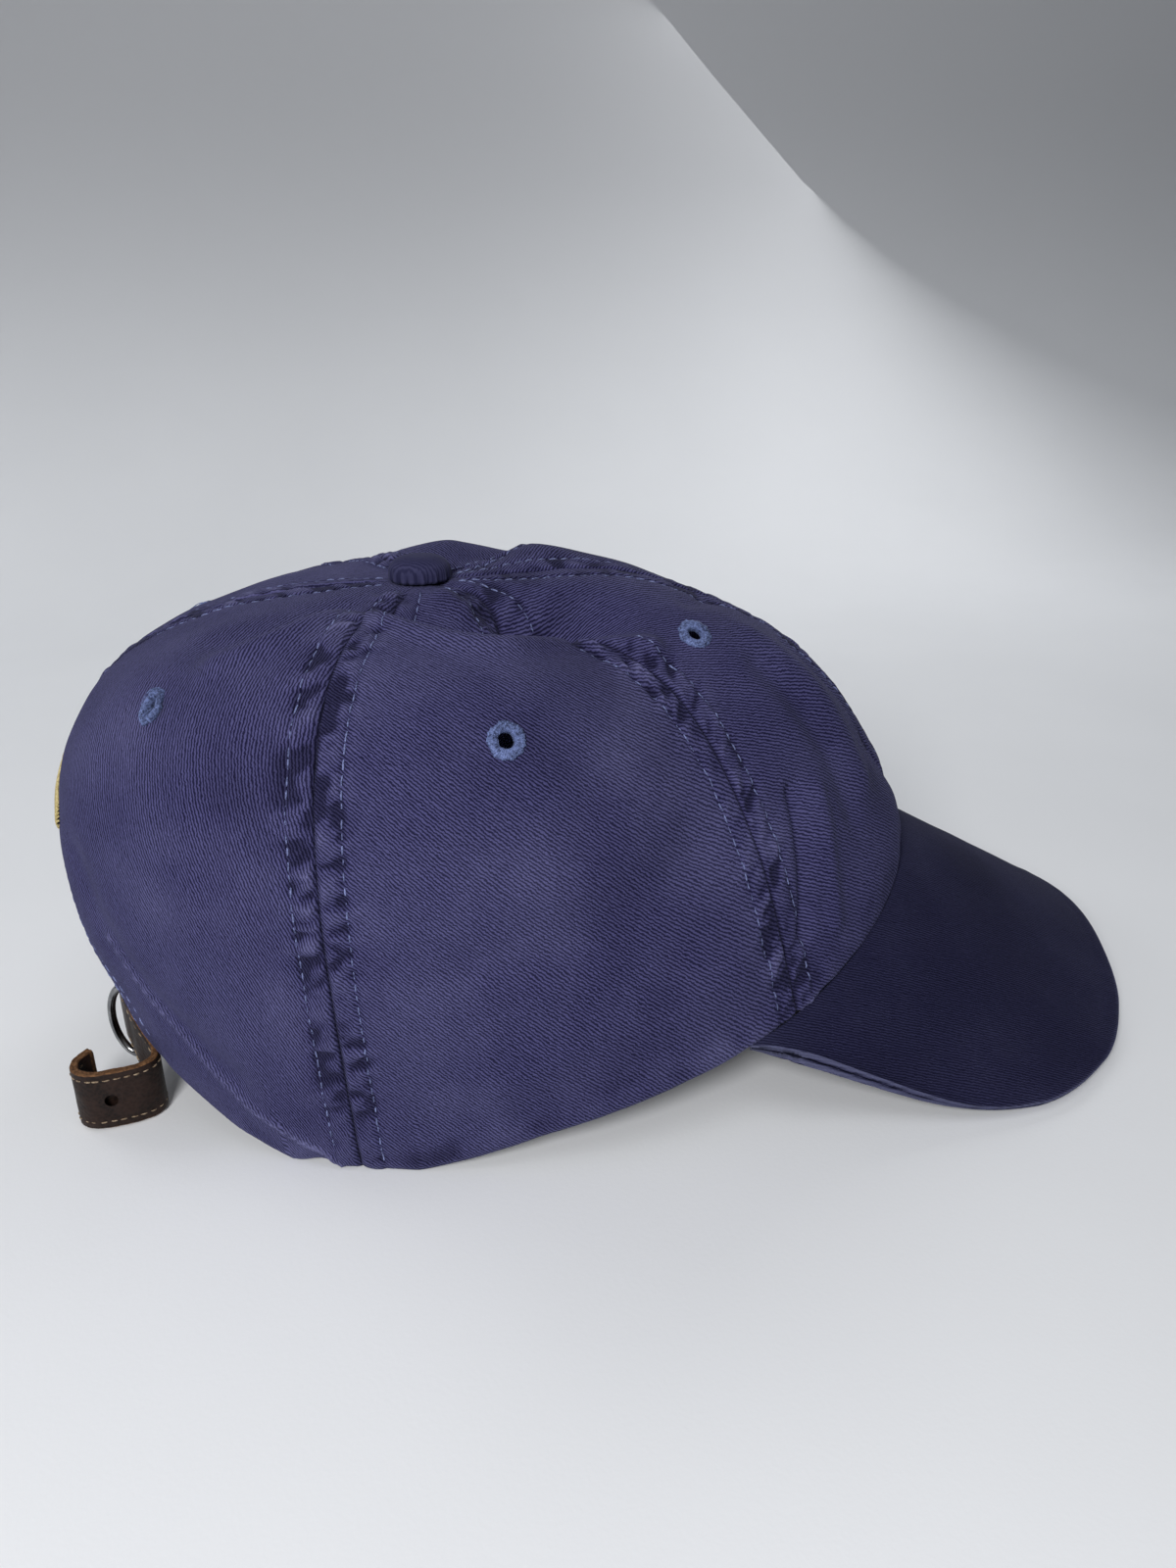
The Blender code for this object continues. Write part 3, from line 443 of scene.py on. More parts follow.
def lengths_along(path):
    return np.concatenate([[0.0], np.cumsum(np.linalg.norm(np.diff(path, axis=0), axis=1))])


def smooth_path(points, step):
    """Evenly spaced points on a Catmull-Rom curve through the given ones, and the distance along it."""
    points = np.asarray(points, float)
    ends = np.concatenate([[2 * points[0] - points[1]], points, [2 * points[-1] - points[-2]]])
    t = np.linspace(0.0, 1.0, 20, endpoint=False)[:, None]
    spans = [catmull_rom(*four, t) for four in zip(ends, ends[1:], ends[2:], ends[3:])]
    fine = np.concatenate([*spans, points[-1:]])
    along = lengths_along(fine)
    even = np.linspace(0.0, along[-1], max(2, round(along[-1] / step) + 1))
    return np.stack([np.interp(even, along, fine[:, k]) for k in range(3)], 1), even


FOLD_LINES = [(height, reach, dense_line(points)) for height, reach, points in FOLDS]


# ---------------------------------------------------------------- the crown as it lies


def soft_crown(angle, v):
    """The crown's outer face as it lies: the solid's surface with its folds, dents, sag and lean."""
    angle, v = np.broadcast_arrays(np.asarray(angle, float), np.asarray(v, float))
    angle = angle - DRAG * bell(turn_from(angle, DRAG_ANGLE), DRAG_WIDTH) * bell(v - DRAG_V, DRAG_REACH)
    point = crown_point(angle, v)
    normal, _ = crown_normal(crown_point, angle, v)
    lift = np.zeros(angle.shape)
    for height, reach, line in FOLD_LINES:
        near = near_line(point, line, 2.6 * reach)
        lift[near] += height * bell(line_distance(point[near], line), reach)
    down, above_rim = distances(angle, v)
    loose = smooth_step(down, 8.0, 30.0) * smooth_step(above_rim, 0.0, 14.0)
    lift += loose * (0.9 * soft_noise(point, 34.0, 1) + 0.35 * soft_noise(point, 15.0, 2))
    front = smooth_step(58.0 - np.abs(turn_from(angle, 0.0)), 0.0, 22.0)
    lift += FRONT_ROLL * front * bell(above_rim - 10.0, 8.0) * smooth_step(above_rim, 0.0, 4.0)
    point = point + lift[..., None] * normal
    high = np.clip(point[..., 2] / BUTTON_POINT[2], 0.0, 1.0)
    point[..., 1] -= LEAN * high**2 * smooth_step(v, 0.02, 0.16)
    notch = bell(np.abs(turn_from(angle, 0.0)) - NOTCH_ANGLE, NOTCH_WIDTH) * bell(above_rim, NOTCH_REACH)
    point[..., 2] += NOTCH_HEIGHT * notch
    return point


def row_offset(down):
    return ROW_OFFSET * (1.0 - np.exp(-down / 12.0))


def relief(angle, v):
    """Fine height of the cloth over the soft crown, and a value from 0 to 1 that is high where the cloth is
    worn pale and low where painted shade darkens creases, seam lines and stitch rows.
    """
    angle, v = np.broadcast_arrays(np.asarray(angle, float), np.asarray(v, float))
    point = crown_point(angle, v)
    down, above_rim = distances(angle, v)
    span = mm_per_degree(angle, v)
    row = row_offset(down)
    open_way = smooth_step(down, 6.0, 16.0)
    height = 0.12 * soft_noise(point, 7.0, 3)
    pale_and_shade = 0.42 + 0.20 * soft_noise(point, 26.0, 4) + 0.10 * soft_noise(point, 9.0, 5)
    for number, seam in enumerate(SEAMS):
        side = turn_from(angle, seam) * span
        near = np.abs(side)
        slant = down + 0.35 * side
        half = np.where(side > 0.0, 4.0, 0.0) + 9.0 * number
        spread = np.stack([slant / 2.9, side / 6.5, half], -1)
        fine = np.stack([slant / 1.3, side / 2.6, half + 2.0], -1)
        strong = 0.62 + 0.38 * soft_noise(np.stack([down / 17.0, half, half], -1))
        pucker = np.clip(1.5 * strong * (soft_noise(spread) + 0.45 * soft_noise(fine)), -1.0, 1.0)
        band = open_way * smooth_step(row + 0.9 - near, 0.0, 1.8) * smooth_step(near, 0.1, 1.4)
        beside = open_way * bell(near - row - 1.0, 2.6) * (near > row)
        calm = CENTRE_PUCKER if seam in (0.0, 180.0) else 1.0
        height += band * (0.25 + calm * PUCKER * pucker) + 0.25 * calm * beside * pucker
        height -= open_way * 0.55 * bell(near, 0.6)
        dimple = 0.7 + 0.3 * np.cos(2.0 * math.pi * down / STITCH_PITCH)
        height -= open_way * 0.45 * bell(near - row, 0.65) * dimple
        # Raised puckers are worn paler. Sunken puckers, the seam line and the stitch rows get lower values,
        # which paint shade into these creases and grooves.
        wear_and_shade = 0.36 * np.maximum(pucker, 0.0) + 0.72 * np.minimum(pucker, 0.0) - 0.03
        pale_and_shade += band * wear_and_shade + 0.15 * beside * pucker - 0.40 * open_way * bell(near, 0.45)
        pale_and_shade -= 0.2 * open_way * bell(near - row, 0.7)
    for _, reach, line in FOLD_LINES:
        if reach == HEM_REACH:
            near = near_line(point, line, 3.0)
            pale_and_shade[near] += 0.5 * bell(line_distance(point[near], line), 0.8)
    ripple = soft_noise(np.stack([angle * span / 5.0, above_rim / 9.0, 0.0 * angle], -1), 1.0, 6)
    height += bell(above_rim - 4.0, 4.5) * 0.32 * ripple
    # Paler along the rim's edge as wear. The ripple's crests are worn paler and its hollows get lower values,
    # which paint shade into them.
    pale_and_shade += 0.22 * bell(above_rim, 1.2) + bell(above_rim - 4.0, 4.5) * 0.25 * ripple
    return height, np.clip(pale_and_shade, 0.0, 1.0)


def on_cloth(angle, v, above=0.0):
    """Points on the finished cloth, raised this much, and their outward normals and level directions."""
    normal, across = crown_normal(soft_crown, angle, v)
    point = soft_crown(angle, v) + (relief(angle, v)[0] + above)[..., None] * normal
    return point, normal, across


def lining(angle, v, depth):
    """Points this deep inside the soft crown."""
    normal, _ = crown_normal(soft_crown, angle, v)
    return off_floor(soft_crown(angle, v) - np.asarray(depth)[..., None] * normal)


# ---------------------------------------------------------------- meshes


def make_piece(name, points, faces, mat, body="cap", uv=None, pale_and_shade=None, replaces=(), slot=None):
    """A smooth mesh that rides on a body. uv and the values of paleness and painted shade hold one row for
    each point.
    """
    mesh = bpy.data.meshes.new(name)
    mesh.from_pydata(to_row(points).tolist(), [], [list(map(int, face)) for face in faces])
    mesh.shade_smooth()
    if uv is not None:
        layer = mesh.uv_layers.new(name="weave")
        corners = np.empty(len(mesh.loops), int)
        mesh.loops.foreach_get("vertex_index", corners)
        layer.data.foreach_set("uv", np.asarray(uv, np.float32)[corners].ravel())
    if pale_and_shade is not None:
        layer = mesh.attributes.new("pale_and_shade", "FLOAT", "POINT")
        layer.data.foreach_set("value", np.asarray(pale_and_shade, np.float32))
    for each in mat if isinstance(mat, (list, tuple)) else [mat]:
        mesh.materials.append(each)
    obj = bpy.data.objects.new(name, mesh)
    bpy.context.scene.collection.objects.link(obj)
    if body is not None:
        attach(obj, body)
    if replaces:
        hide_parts(*replaces)
    return obj


def grid_faces(rows, columns, wrap_rows=False, wrap_columns=False):
    index = np.arange(rows * columns).reshape(rows, columns)
    if wrap_rows:
        index = np.concatenate([index, index[:1]])
    if wrap_columns:
        index = np.concatenate([index, index[:, :1]], 1)
    return np.stack([index[:-1, :-1], index[1:, :-1], index[1:, 1:], index[:-1, 1:]], -1).reshape(-1, 4)


def sheet_mesh(outer, inner, keep=None):
    """Points and outward faces of a closed sheet between two grids. keep says which cells of it there are."""
    rows, columns = outer.shape[:2]
    count = rows * columns
    cells = grid_faces(rows, columns)
    if keep is not None:
        cells = cells[keep.reshape(-1)]
    points = np.concatenate([outer.reshape(-1, 3), inner.reshape(-1, 3)])
    corners = points[cells]
    normal = np.cross(corners[:, 2] - corners[:, 0], corners[:, 3] - corners[:, 1])
    if (normal * (corners[:, 0] - points[cells + count][:, 0])).sum() < 0.0:
        cells = cells[:, ::-1]
    edges = np.concatenate([cells[:, [k, (k + 1) % 4]] for k in range(4)])
    _, back, times = np.unique(np.sort(edges, 1), axis=0, return_inverse=True, return_counts=True)
    border = edges[times[back.reshape(-1)] == 1]
    walls = np.concatenate([border[:, ::-1], border + count], 1)
    faces = np.concatenate([cells, cells[:, ::-1] + count, walls])
    used, back = np.unique(faces, return_inverse=True)
    return points[used], back.reshape(faces.shape), used


def make_sheet(name, outer, inner, mat, uv, pale_and_shade=None, keep=None, **options):
    """A closed sheet between two grids as a piece, with the same weave, wear and painted shade on both faces.
    """
    points, faces, used = sheet_mesh(outer, inner, keep)
    uv = np.concatenate([uv.reshape(-1, 2)] * 2)[used]
    if pale_and_shade is not None:
        pale_and_shade = np.concatenate([pale_and_shade.ravel()] * 2)[used]
    make_piece(name, points, faces, mat, uv=uv, pale_and_shade=pale_and_shade, **options)


def tube_mesh(path, radius, sides=8, flat_side=None, squash=1.0, closed=False):
    """Points and faces of a tube round a path. radius may change along it; its ends are left open."""
    path = np.asarray(path, float)
    count = len(path)
    way = np.roll(path, -1, 0) - np.roll(path, 1, 0) if closed else np.gradient(path, axis=0)
    way = unit(way)
    side = np.broadcast_to(np.asarray(flat_side if flat_side is not None else UP, float), path.shape)
    across = unit(np.cross(way, side))
    up = unit(np.cross(across, way))
    radius = np.broadcast_to(np.asarray(radius, float), count)[:, None, None]
    turn = np.linspace(0.0, 2.0 * math.pi, sides, endpoint=False)[None, :, None]
    rings = path[:, None] + radius * (np.cos(turn) * across[:, None] + squash * np.sin(turn) * up[:, None])
    return rings.reshape(-1, 3), grid_faces(count, sides, wrap_rows=closed, wrap_columns=True)


def joined(parts):
    """One list of points and one of faces from several (points, faces)."""
    points, faces, start = [], [], 0
    for some, theirs in parts:
        points.append(some)
        faces.append(np.asarray(theirs) + start)
        start += len(some)
    return np.concatenate(points), np.concatenate(faces)


def stitches(path, normal, seed, pitch=STITCH_PITCH, length=STITCH_LENGTH, radius=THREAD_RADIUS):
    """Separate stitches along a path on cloth: each rises from its hole, lies flat and goes back in."""
    along = lengths_along(path)
    chance = np.random.default_rng(seed)
    share = np.linspace(0.0, 1.0, 8)
    rise = np.sin(math.pi * share) ** 0.45
    parts = []
    for k in range(int(along[-1] / pitch)):
        begin = k * pitch + chance.uniform(-0.12, 0.12) * pitch
        places = begin + share * length * chance.uniform(0.86, 1.08)
        line = np.stack([np.interp(places, along, path[:, i]) for i in range(3)], 1)
        up = unit(np.stack([np.interp(places, along, normal[:, i]) for i in range(3)], 1))
        side = unit(np.cross(np.gradient(line, axis=0), up))
        drift = chance.uniform(-0.14, 0.14) * (share - 0.5)[:, None]
        lie = THREAD_LIE * chance.uniform(-1.2, 1.0)
        line = line + up * ((rise * (lie + radius) - 0.8 * radius)[:, None]) + side * drift
        size = radius * (0.55 + 0.45 * rise) * chance.uniform(0.9, 1.15)
        parts.append(tube_mesh(line, size, 6, up))
    return joined(parts)


# ---------------------------------------------------------------- materials


COOL_TINT = (0.6, 0.65, 1.0)


class Shader:
    """A material's nodes, made by short calls that return sockets."""

    def __init__(self, name, roughness=0.8, metallic=0.0, sheen=0.0, tint=(1.0, 1.0, 1.0), gloss=0.5):
        self.material = bpy.data.materials.new(name)
        self.material.use_nodes = True
        self.tree = self.material.node_tree
        self.shader = self.tree.nodes["Principled BSDF"]
        self.shader.inputs["Roughness"].default_value = roughness
        self.shader.inputs["Metallic"].default_value = metallic
        self.shader.inputs["Specular IOR Level"].default_value = gloss
        self.shader.inputs["Sheen Weight"].default_value = sheen
        self.shader.inputs["Sheen Roughness"].default_value = 0.5
        self.shader.inputs["Sheen Tint"].default_value = (*tint, 1.0)

    def make(self, kind, **settings):
        made = self.tree.nodes.new(kind)
        for key, value in settings.items():
            setattr(made, key, value)
        return made

    def put(self, socket, value):
        if isinstance(value, bpy.types.NodeSocket):
            self.tree.links.new(value, socket)
        elif isinstance(value, (tuple, list)) and len(value) == 3 and socket.type == "RGBA":
            socket.default_value = (*value, 1.0)
        else:
            socket.default_value = value

    def math(self, operation, a, b=0.0, c=0.0, clamp=False):
        made = self.make("ShaderNodeMath", operation=operation, use_clamp=clamp)
        for socket, value in zip(made.inputs, (a, b, c)):
            self.put(socket, value)
        return made.outputs[0]

    def times(self, a, b):
        return self.math("MULTIPLY", a, b)

    def plus(self, a, b):
        return self.math("ADD", a, b)

    def madd(self, a, b, c, clamp=False):
        """a times b, plus c."""
        return self.math("MULTIPLY_ADD", a, b, c, clamp)

    def sine(self, a):
        return self.math("SINE", a)

    def mix(self, factor, a, b):
        made = self.make("ShaderNodeMix", data_type="RGBA", blend_type="MIX")
        self.put(made.inputs[0], factor)
        self.put(made.inputs[6], a)
        self.put(made.inputs[7], b)
        return made.outputs[2]

    def span(self, value, low, high, to_low=0.0, to_high=1.0):
        made = self.make("ShaderNodeMapRange", interpolation_type="SMOOTHSTEP")
        for socket, each in zip(made.inputs, (value, low, high, to_low, to_high)):
            self.put(socket, each)
        return made.outputs[0]

    def weave(self):
        """Places in the cloth, in millimetres."""
        return self.make("ShaderNodeUVMap", uv_map="weave").outputs[0]

    def split(self, vector):
        made = self.make("ShaderNodeSeparateXYZ")
        self.put(made.inputs[0], vector)
        return made.outputs[0], made.outputs[1], made.outputs[2]

    def join(self, x, y, z=0.0):
        made = self.make("ShaderNodeCombineXYZ")
        for socket, value in zip(made.inputs, (x, y, z)):
            self.put(socket, value)
        return made.outputs[0]

    def place(self):
        """Places in the object, in metres."""
        return self.make("ShaderNodeTexCoord").outputs["Object"]

    def attribute(self, name):
        return self.make("ShaderNodeAttribute", attribute_name=name).outputs["Fac"]

    def noise(self, vector, scale, detail=2.0, roughness=0.5):
        made = self.make("ShaderNodeTexNoise")
        self.put(made.inputs["Vector"], vector)
        self.put(made.inputs["Scale"], scale)
        self.put(made.inputs["Detail"], detail)
        self.put(made.inputs["Roughness"], roughness)
        return made.outputs[0]

    def cells(self, vector, scale):
        made = self.make("ShaderNodeTexVoronoi", feature="F1")
        self.put(made.inputs["Vector"], vector)
        self.put(made.inputs["Scale"], scale)
        return made.outputs["Distance"]

    def finish(self, colour, height=None, deep=0.1, strength=1.0, roughness=None):
        """deep is the full height of the bump, in millimetres."""
        self.put(self.shader.inputs["Base Color"], colour)
        if roughness is not None:
            self.put(self.shader.inputs["Roughness"], roughness)
        if height is not None:
            bump = self.make("ShaderNodeBump")
            bump.inputs["Strength"].default_value = strength
            bump.inputs["Distance"].default_value = deep * MM
            self.put(bump.inputs["Height"], height)
            self.put(self.shader.inputs["Normal"], bump.outputs[0])
        return self.material


def twill(name, dark, light, pale, fade=1.0, deep=0.16):
    """Washed twill: lines of weave along the first weave coordinate, worn pale where the cloth stands up, and
    darkened with painted shade where the pale-and-shade values are low.
    """
    s = Shader(name, roughness=0.95, sheen=0.035, tint=COOL_TINT, gloss=0.08)
    weave = s.weave()
    along, across, _ = s.split(weave)
    slow = s.madd(s.noise(weave, 0.22, 2.0), 0.6, -0.3)
    wander = s.plus(slow, s.madd(s.noise(weave, 0.75, 2.0, 0.6), 0.84, -0.42))
    line = s.times(s.plus(across, wander), 2.0 * math.pi / WALE)
    ridge = s.madd(s.sine(line), 0.5, 0.5)
    yarn = s.noise(s.join(s.times(along, 0.9), s.times(across, 2.6)), 1.0, 2.0, 0.6)
    crossing = s.sine(s.plus(line, s.times(along, 6.8)))
    picks = s.madd(crossing, 0.10, 0.10)
    height = s.plus(s.times(ridge, s.plus(yarn, 0.30)), picks)
    tone = s.span(height, 0.22, 0.78)
    cloudy = s.noise(s.place(), 42.0, 4.0, 0.6)
    speck = s.noise(weave, 1.6, 3.0, 0.7)
    pale_and_shade = s.attribute("pale_and_shade")
    wear_and_shade = s.madd(pale_and_shade, 0.75 * fade, s.madd(cloudy, 0.5, -0.25))
    # Painted shade: low pale-and-shade values darken the weave towards a third of its dark colour, standing
    # in for shade in creases, seam lines and stitch rows; on the visor they darken patches at random.
    painted_crease_shade = s.span(pale_and_shade, 0.0, 0.38, 0.62, 0.0)
    colour = s.mix(painted_crease_shade, s.mix(tone, dark, light), tuple(0.35 * each for each in dark))
    colour = s.mix(s.times(s.span(wear_and_shade, 0.1, 1.0), s.madd(tone, 0.55, 0.25)), colour, pale)
    colour = s.mix(s.span(pale_and_shade, 0.72, 1.0, 0.0, 0.55), colour, pale)
    colour = s.mix(s.span(speck, 0.60, 0.78, 0.0, 0.30), colour, pale)
    fuzz = s.noise(weave, 5.0, 2.0, 0.7)
    return s.finish(colour, s.madd(fuzz, 0.35, height), deep=deep, strength=0.75)


def plain_cloth(name, dark, light, pitch=0.55):
    """Plain weave for tape and band: threads both ways."""
    s = Shader(name, roughness=0.95, sheen=0.04, tint=COOL_TINT, gloss=0.1)
    x, y, _ = s.split(s.weave())
    turn = 2.0 * math.pi / pitch
    height = s.madd(s.times(s.sine(s.times(x, turn)), s.sine(s.times(y, turn))), 0.5, 0.5)
    cloudy = s.noise(s.place(), 60.0, 3.0, 0.6)
    tone = s.madd(s.plus(cloudy, -0.5), 1.2, height, clamp=True)
    return s.finish(s.mix(tone, dark, light), height, deep=0.1, strength=0.6)


def thread_material(name, dark, light):
    """Spun thread: fine ply and uneven dye."""
    s = Shader(name, roughness=0.75, sheen=0.05, tint=(0.8, 0.85, 1.0), gloss=0.25)
    place = s.place()
    ply = s.noise(place, 1900.0, 2.0, 0.6)
    cloudy = s.noise(place, 260.0, 3.0, 0.6)
    tone = s.madd(ply, 0.7, s.times(cloudy, 0.5), clamp=True)
    return s.finish(s.mix(s.span(tone, 0.42, 0.78), dark, light), ply, deep=0.08, strength=0.7)


def leather_material(name):
    """Dark brown grain leather, tan and fibrous where the attribute of paleness and painted shade says that
    it is cut.
    """
    s = Shader(name, roughness=0.5, gloss=0.22)
    place = s.place()
    grain = s.cells(place, 1150.0)
    pores = s.noise(place, 2600.0, 2.0, 0.6)
    mottle = s.noise(place, 130.0, 4.0, 0.62)
    crease = s.noise(place, 420.0, 3.0, 0.7)
    skin = s.mix(s.span(mottle, 0.32, 0.72), (0.0045, 0.0022, 0.0018), (0.020, 0.0092, 0.0066))
    skin = s.mix(s.span(grain, 0.25, 0.75, 0.0, 0.4), skin, (0.034, 0.018, 0.013))
    fibre = s.noise(place, 900.0, 4.0, 0.75)
    cut = s.mix(s.span(fibre, 0.3, 0.75), (0.045, 0.018, 0.008), (0.21, 0.105, 0.045))
    edge = s.span(s.plus(s.attribute("pale_and_shade"), s.madd(fibre, 0.5, -0.25)), 0.38, 0.68)
    height = s.plus(s.times(grain, 0.6), s.madd(pores, 0.25, s.times(crease, 0.5)))
    rough = s.madd(mottle, 0.30, s.madd(edge, 0.30, 0.36))
    return s.finish(s.mix(edge, skin, cut), height, deep=0.16, strength=0.7, roughness=rough)


def metal_material(name, dark, light, rough):
    """Worn metal with fine scratches along its height."""
    s = Shader(name, metallic=1.0)
    place = s.place()
    stain = s.noise(place, 320.0, 4.0, 0.65)
    x, y, z = s.split(place)
    scratch = s.noise(s.join(x, y, s.times(z, 14.0)), 900.0, 2.0, 0.6)
    roughness = s.madd(stain, 0.16, s.madd(scratch, 0.08, rough - 0.1))
    colour = s.mix(s.span(stain, 0.35, 0.7), dark, light)
    return s.finish(colour, scratch, deep=0.01, strength=0.3, roughness=roughness)


def floor_material():
    s = Shader("pale_floor", roughness=0.95)
    soft = s.noise(s.place(), 9.0, 3.0, 0.5)
    floor = s.mix(soft, (0.78, 0.80, 0.83), (0.84, 0.86, 0.89))
    height = s.split(s.place())[2]
    # Painted shade: the backdrop is darkened as it rises, standing in for the light falling off behind the
    # cap.
    backdrop_painted_dim = s.mix(s.span(height, 0.0, 0.35), floor, (0.46, 0.47, 0.49))
    return s.finish(backdrop_painted_dim, s.noise(s.place(), 900.0, 3.0), deep=0.15, strength=0.2)


def board_material():
    s = Shader("board_sheet", roughness=0.6)
    soft = s.noise(s.place(), 90.0, 3.0)
    return s.finish(s.mix(soft, (0.66, 0.66, 0.62), (0.80, 0.80, 0.77)), soft, deep=0.05, strength=0.3)


CROWN = twill("washed_twill", (0.009, 0.0085, 0.032), (0.062, 0.060, 0.158), (0.155, 0.155, 0.310))
VISOR_COLOURS = (0.0055, 0.0055, 0.020), (0.020, 0.020, 0.056), (0.10, 0.105, 0.19)
VISOR = twill("visor_twill", *VISOR_COLOURS, fade=0.8, deep=0.12)
BUTTON_COLOURS = (0.017, 0.017, 0.050), (0.030, 0.030, 0.078), (0.055, 0.055, 0.12)
BUTTON_CLOTH = twill("button_twill", *BUTTON_COLOURS, deep=0.05)
TAPE = plain_cloth("tape_weave", (0.020, 0.022, 0.058), (0.062, 0.065, 0.140))
BAND = plain_cloth("band_weave", (0.024, 0.026, 0.064), (0.074, 0.077, 0.155), 0.8)
SEAM_THREAD = thread_material("seam_thread", (0.035, 0.040, 0.105), (0.20, 0.235, 0.45))
EYELET_THREAD = thread_material("eyelet_thread", (0.020, 0.028, 0.075), (0.155, 0.205, 0.42))
GOLD_THREAD = thread_material("gold_thread", (0.30, 0.235, 0.085), (0.66, 0.56, 0.28))
PALE_THREAD = thread_material("strap_thread", (0.10, 0.062, 0.036), (0.40, 0.31, 0.21))
LEATHER = leather_material("brown_leather")
NICKEL = metal_material("dark_nickel", (0.17, 0.175, 0.185), (0.33, 0.335, 0.34), 0.16)
STEEL = metal_material("plain_steel", (0.42, 0.42, 0.43), (0.58, 0.58, 0.58), 0.38)
BOARD = board_material()
LABEL = plain_cloth("label_satin", (0.55, 0.54, 0.50), (0.74, 0.73, 0.69), 0.4)


# ---------------------------------------------------------------- crown panels


def crowded(count):
    """Shares from 0 to 1 that lie closer together at both ends."""
    u = np.linspace(0.0, 1.0, count + 1)
    return u - SEAM_CROWDING / (2.0 * math.pi) * np.sin(2.0 * math.pi * u)


def arch(turn, beyond=0.0):
    """The opening's edge on the wearer's left as (angle, distance above the rim)."""
    reach = 180.0 - OPENING_CORNER + beyond / BACK_MM_PER_DEGREE
    return 180.0 - reach * np.cos(np.radians(turn)), (ARCH_HEIGHT + beyond) * np.sin(np.radians(turn))


def panel_grid(place):
    """(angle, v) grids of a left panel."""
    across = crowded(GRID_ACROSS)[:, None]
    down = np.linspace(0.0, 1.0, GRID_DOWN + 1)[None, :]
    if place == "back":
        turn = np.maximum(across - RIM_SHARE, 0.0) / (1.0 - RIM_SHARE) * 90.0
        arch_angle, rise = arch(turn)
        along_rim = BACK_SEAM + (OPENING_CORNER - BACK_SEAM) * np.minimum(across / RIM_SHARE, 1.0)
        edge = np.where(turn > 0.0, arch_angle, along_rim)
        rise = np.where(turn > 0.0, rise, 0.0)
        top = BACK_SEAM + (180.0 - BACK_SEAM) * across
        angle = top + (edge - top) * down**2
    else:
        start, end = (0.0, FRONT_SEAM) if place == "front" else (FRONT_SEAM, BACK_SEAM)
        rise = 0.0
        angle = start + (end - start) * across + 0.0 * down
    length = full_length(angle) - rise
    return angle, v_at(angle, POST_HOLE_RADIUS + (length - POST_HOLE_RADIUS) * down)


def turned(x, y, degrees):
    """Weave coordinates: the places (x, y) seen along and across a line at this angle."""
    turn = math.radians(degrees)
    return np.stack([x * math.cos(turn) + y * math.sin(turn), -x * math.sin(turn) + y * math.cos(turn)], -1)


def round_over(distance, reach):
    """How far a rounded edge has dropped: 1 at its end, and 0 from reach on."""
    return 1.0 - np.sqrt(1.0 - np.clip(1.0 - distance / reach, 0.0, 1.0) ** 2)


def eyelet_frame(place, turn):
    """An eyelet's centre on the cloth, its outward normal and its level direction."""
    angle = np.array([turn * EYELET_ANGLES[place]])
    v = v_at(angle, EYELET_SHARE * full_length(angle))
    return [each[0] for each in on_cloth(angle, v)]


def make_panel(place, hand):
    """One panel of cloth, rounded over at the rim, with a hole for its eyelet."""
    turn = HANDS[hand]
    angle, v = panel_grid(place)
    angle = turn * angle
    point, normal, across = on_cloth(angle, v)
    edge = np.zeros_like(angle)
    edge[0], edge[-1] = 0.5 * SEAM_GAP * turn, -0.5 * SEAM_GAP * turn
    point = point + edge[..., None] * across
    steps = np.linalg.norm(np.diff(point, axis=1), axis=-1)
    to_end = np.concatenate([np.cumsum(steps[:, ::-1], 1)[:, ::-1], np.zeros((len(steps), 1))], 1)
    curl = round_over(to_end, 1.1)
    outer = off_floor(point - (0.45 * curl)[..., None] * normal)
    inner = off_floor(point - (PANEL_THICKNESS - 0.40 * curl)[..., None] * normal)
    centre, eye_normal, _ = eyelet_frame(place, turn)
    away = point - centre
    away = away - (away @ eye_normal)[..., None] * eye_normal
    away = np.linalg.norm(away, axis=-1) + 1e3 * (v > 0.9)
    corners = np.minimum.reduce([away[:-1, :-1], away[1:, :-1], away[1:, 1:], away[:-1, 1:]])
    level = turn_from(angle, turn * MIDDLES[place]) * mm_per_degree(angle, v)
    make_sheet(
        f"cloth_{place}_{hand}",
        outer,
        inner,
        CROWN,
        turned(level, distances(angle, v)[0], TWILL_ANGLE[place]),
        relief(angle, v)[1] + 0.25 * curl,
        corners > EYELET_HOLE - 0.4,
        replaces=[f"{place}_panel_{hand}"],
        slot="crown_twill",
    )


def round_arch(start, count):
    """Turns up one side of the opening's edge and down the other, and which side each is on."""
    turn = np.concatenate([np.linspace(start, 90.0, count), np.linspace(90.0, start, count)[1:]])
    return turn, np.where(np.arange(len(turn)) < count, 1.0, -1.0)


def make_seam_rows():
    """Two rows of stitching beside each seam, and rows along the opening's edge."""
    for number, (seam, name) in enumerate(zip(SEAMS, SEAM_NAMES)):
        end = full_length(seam) - (ARCH_HEIGHT + 1.5 if name == "back" else 2.0)
        down = np.linspace(9.5, end, 160)
        reach = row_offset(down) / mm_per_degree(seam, v_at(seam, down))
        parts = []
        for side in (-1.0, 1.0):
            angle = seam + side * reach
            point, normal, _ = on_cloth(angle, v_at(angle, down))
            parts.append(stitches(point, normal, 10 * number + int(side > 0)))
        make_piece(f"seam_stitches_{name}", *joined(parts), SEAM_THREAD, slot="eyelet_thread")
    parts = []
    turn, hand = round_arch(6.0, 60)
    for number, beyond in enumerate((EDGE_ROW, BINDING_WIDTH - 0.8)):
        angle, rise = arch(turn, beyond)
        angle = hand * angle
        point, normal, _ = on_cloth(angle, v_at(angle, -rise))
        parts.append(stitches(point, normal, 90 + number))
    make_piece("opening_stitches", *joined(parts), SEAM_THREAD, slot="eyelet_thread")


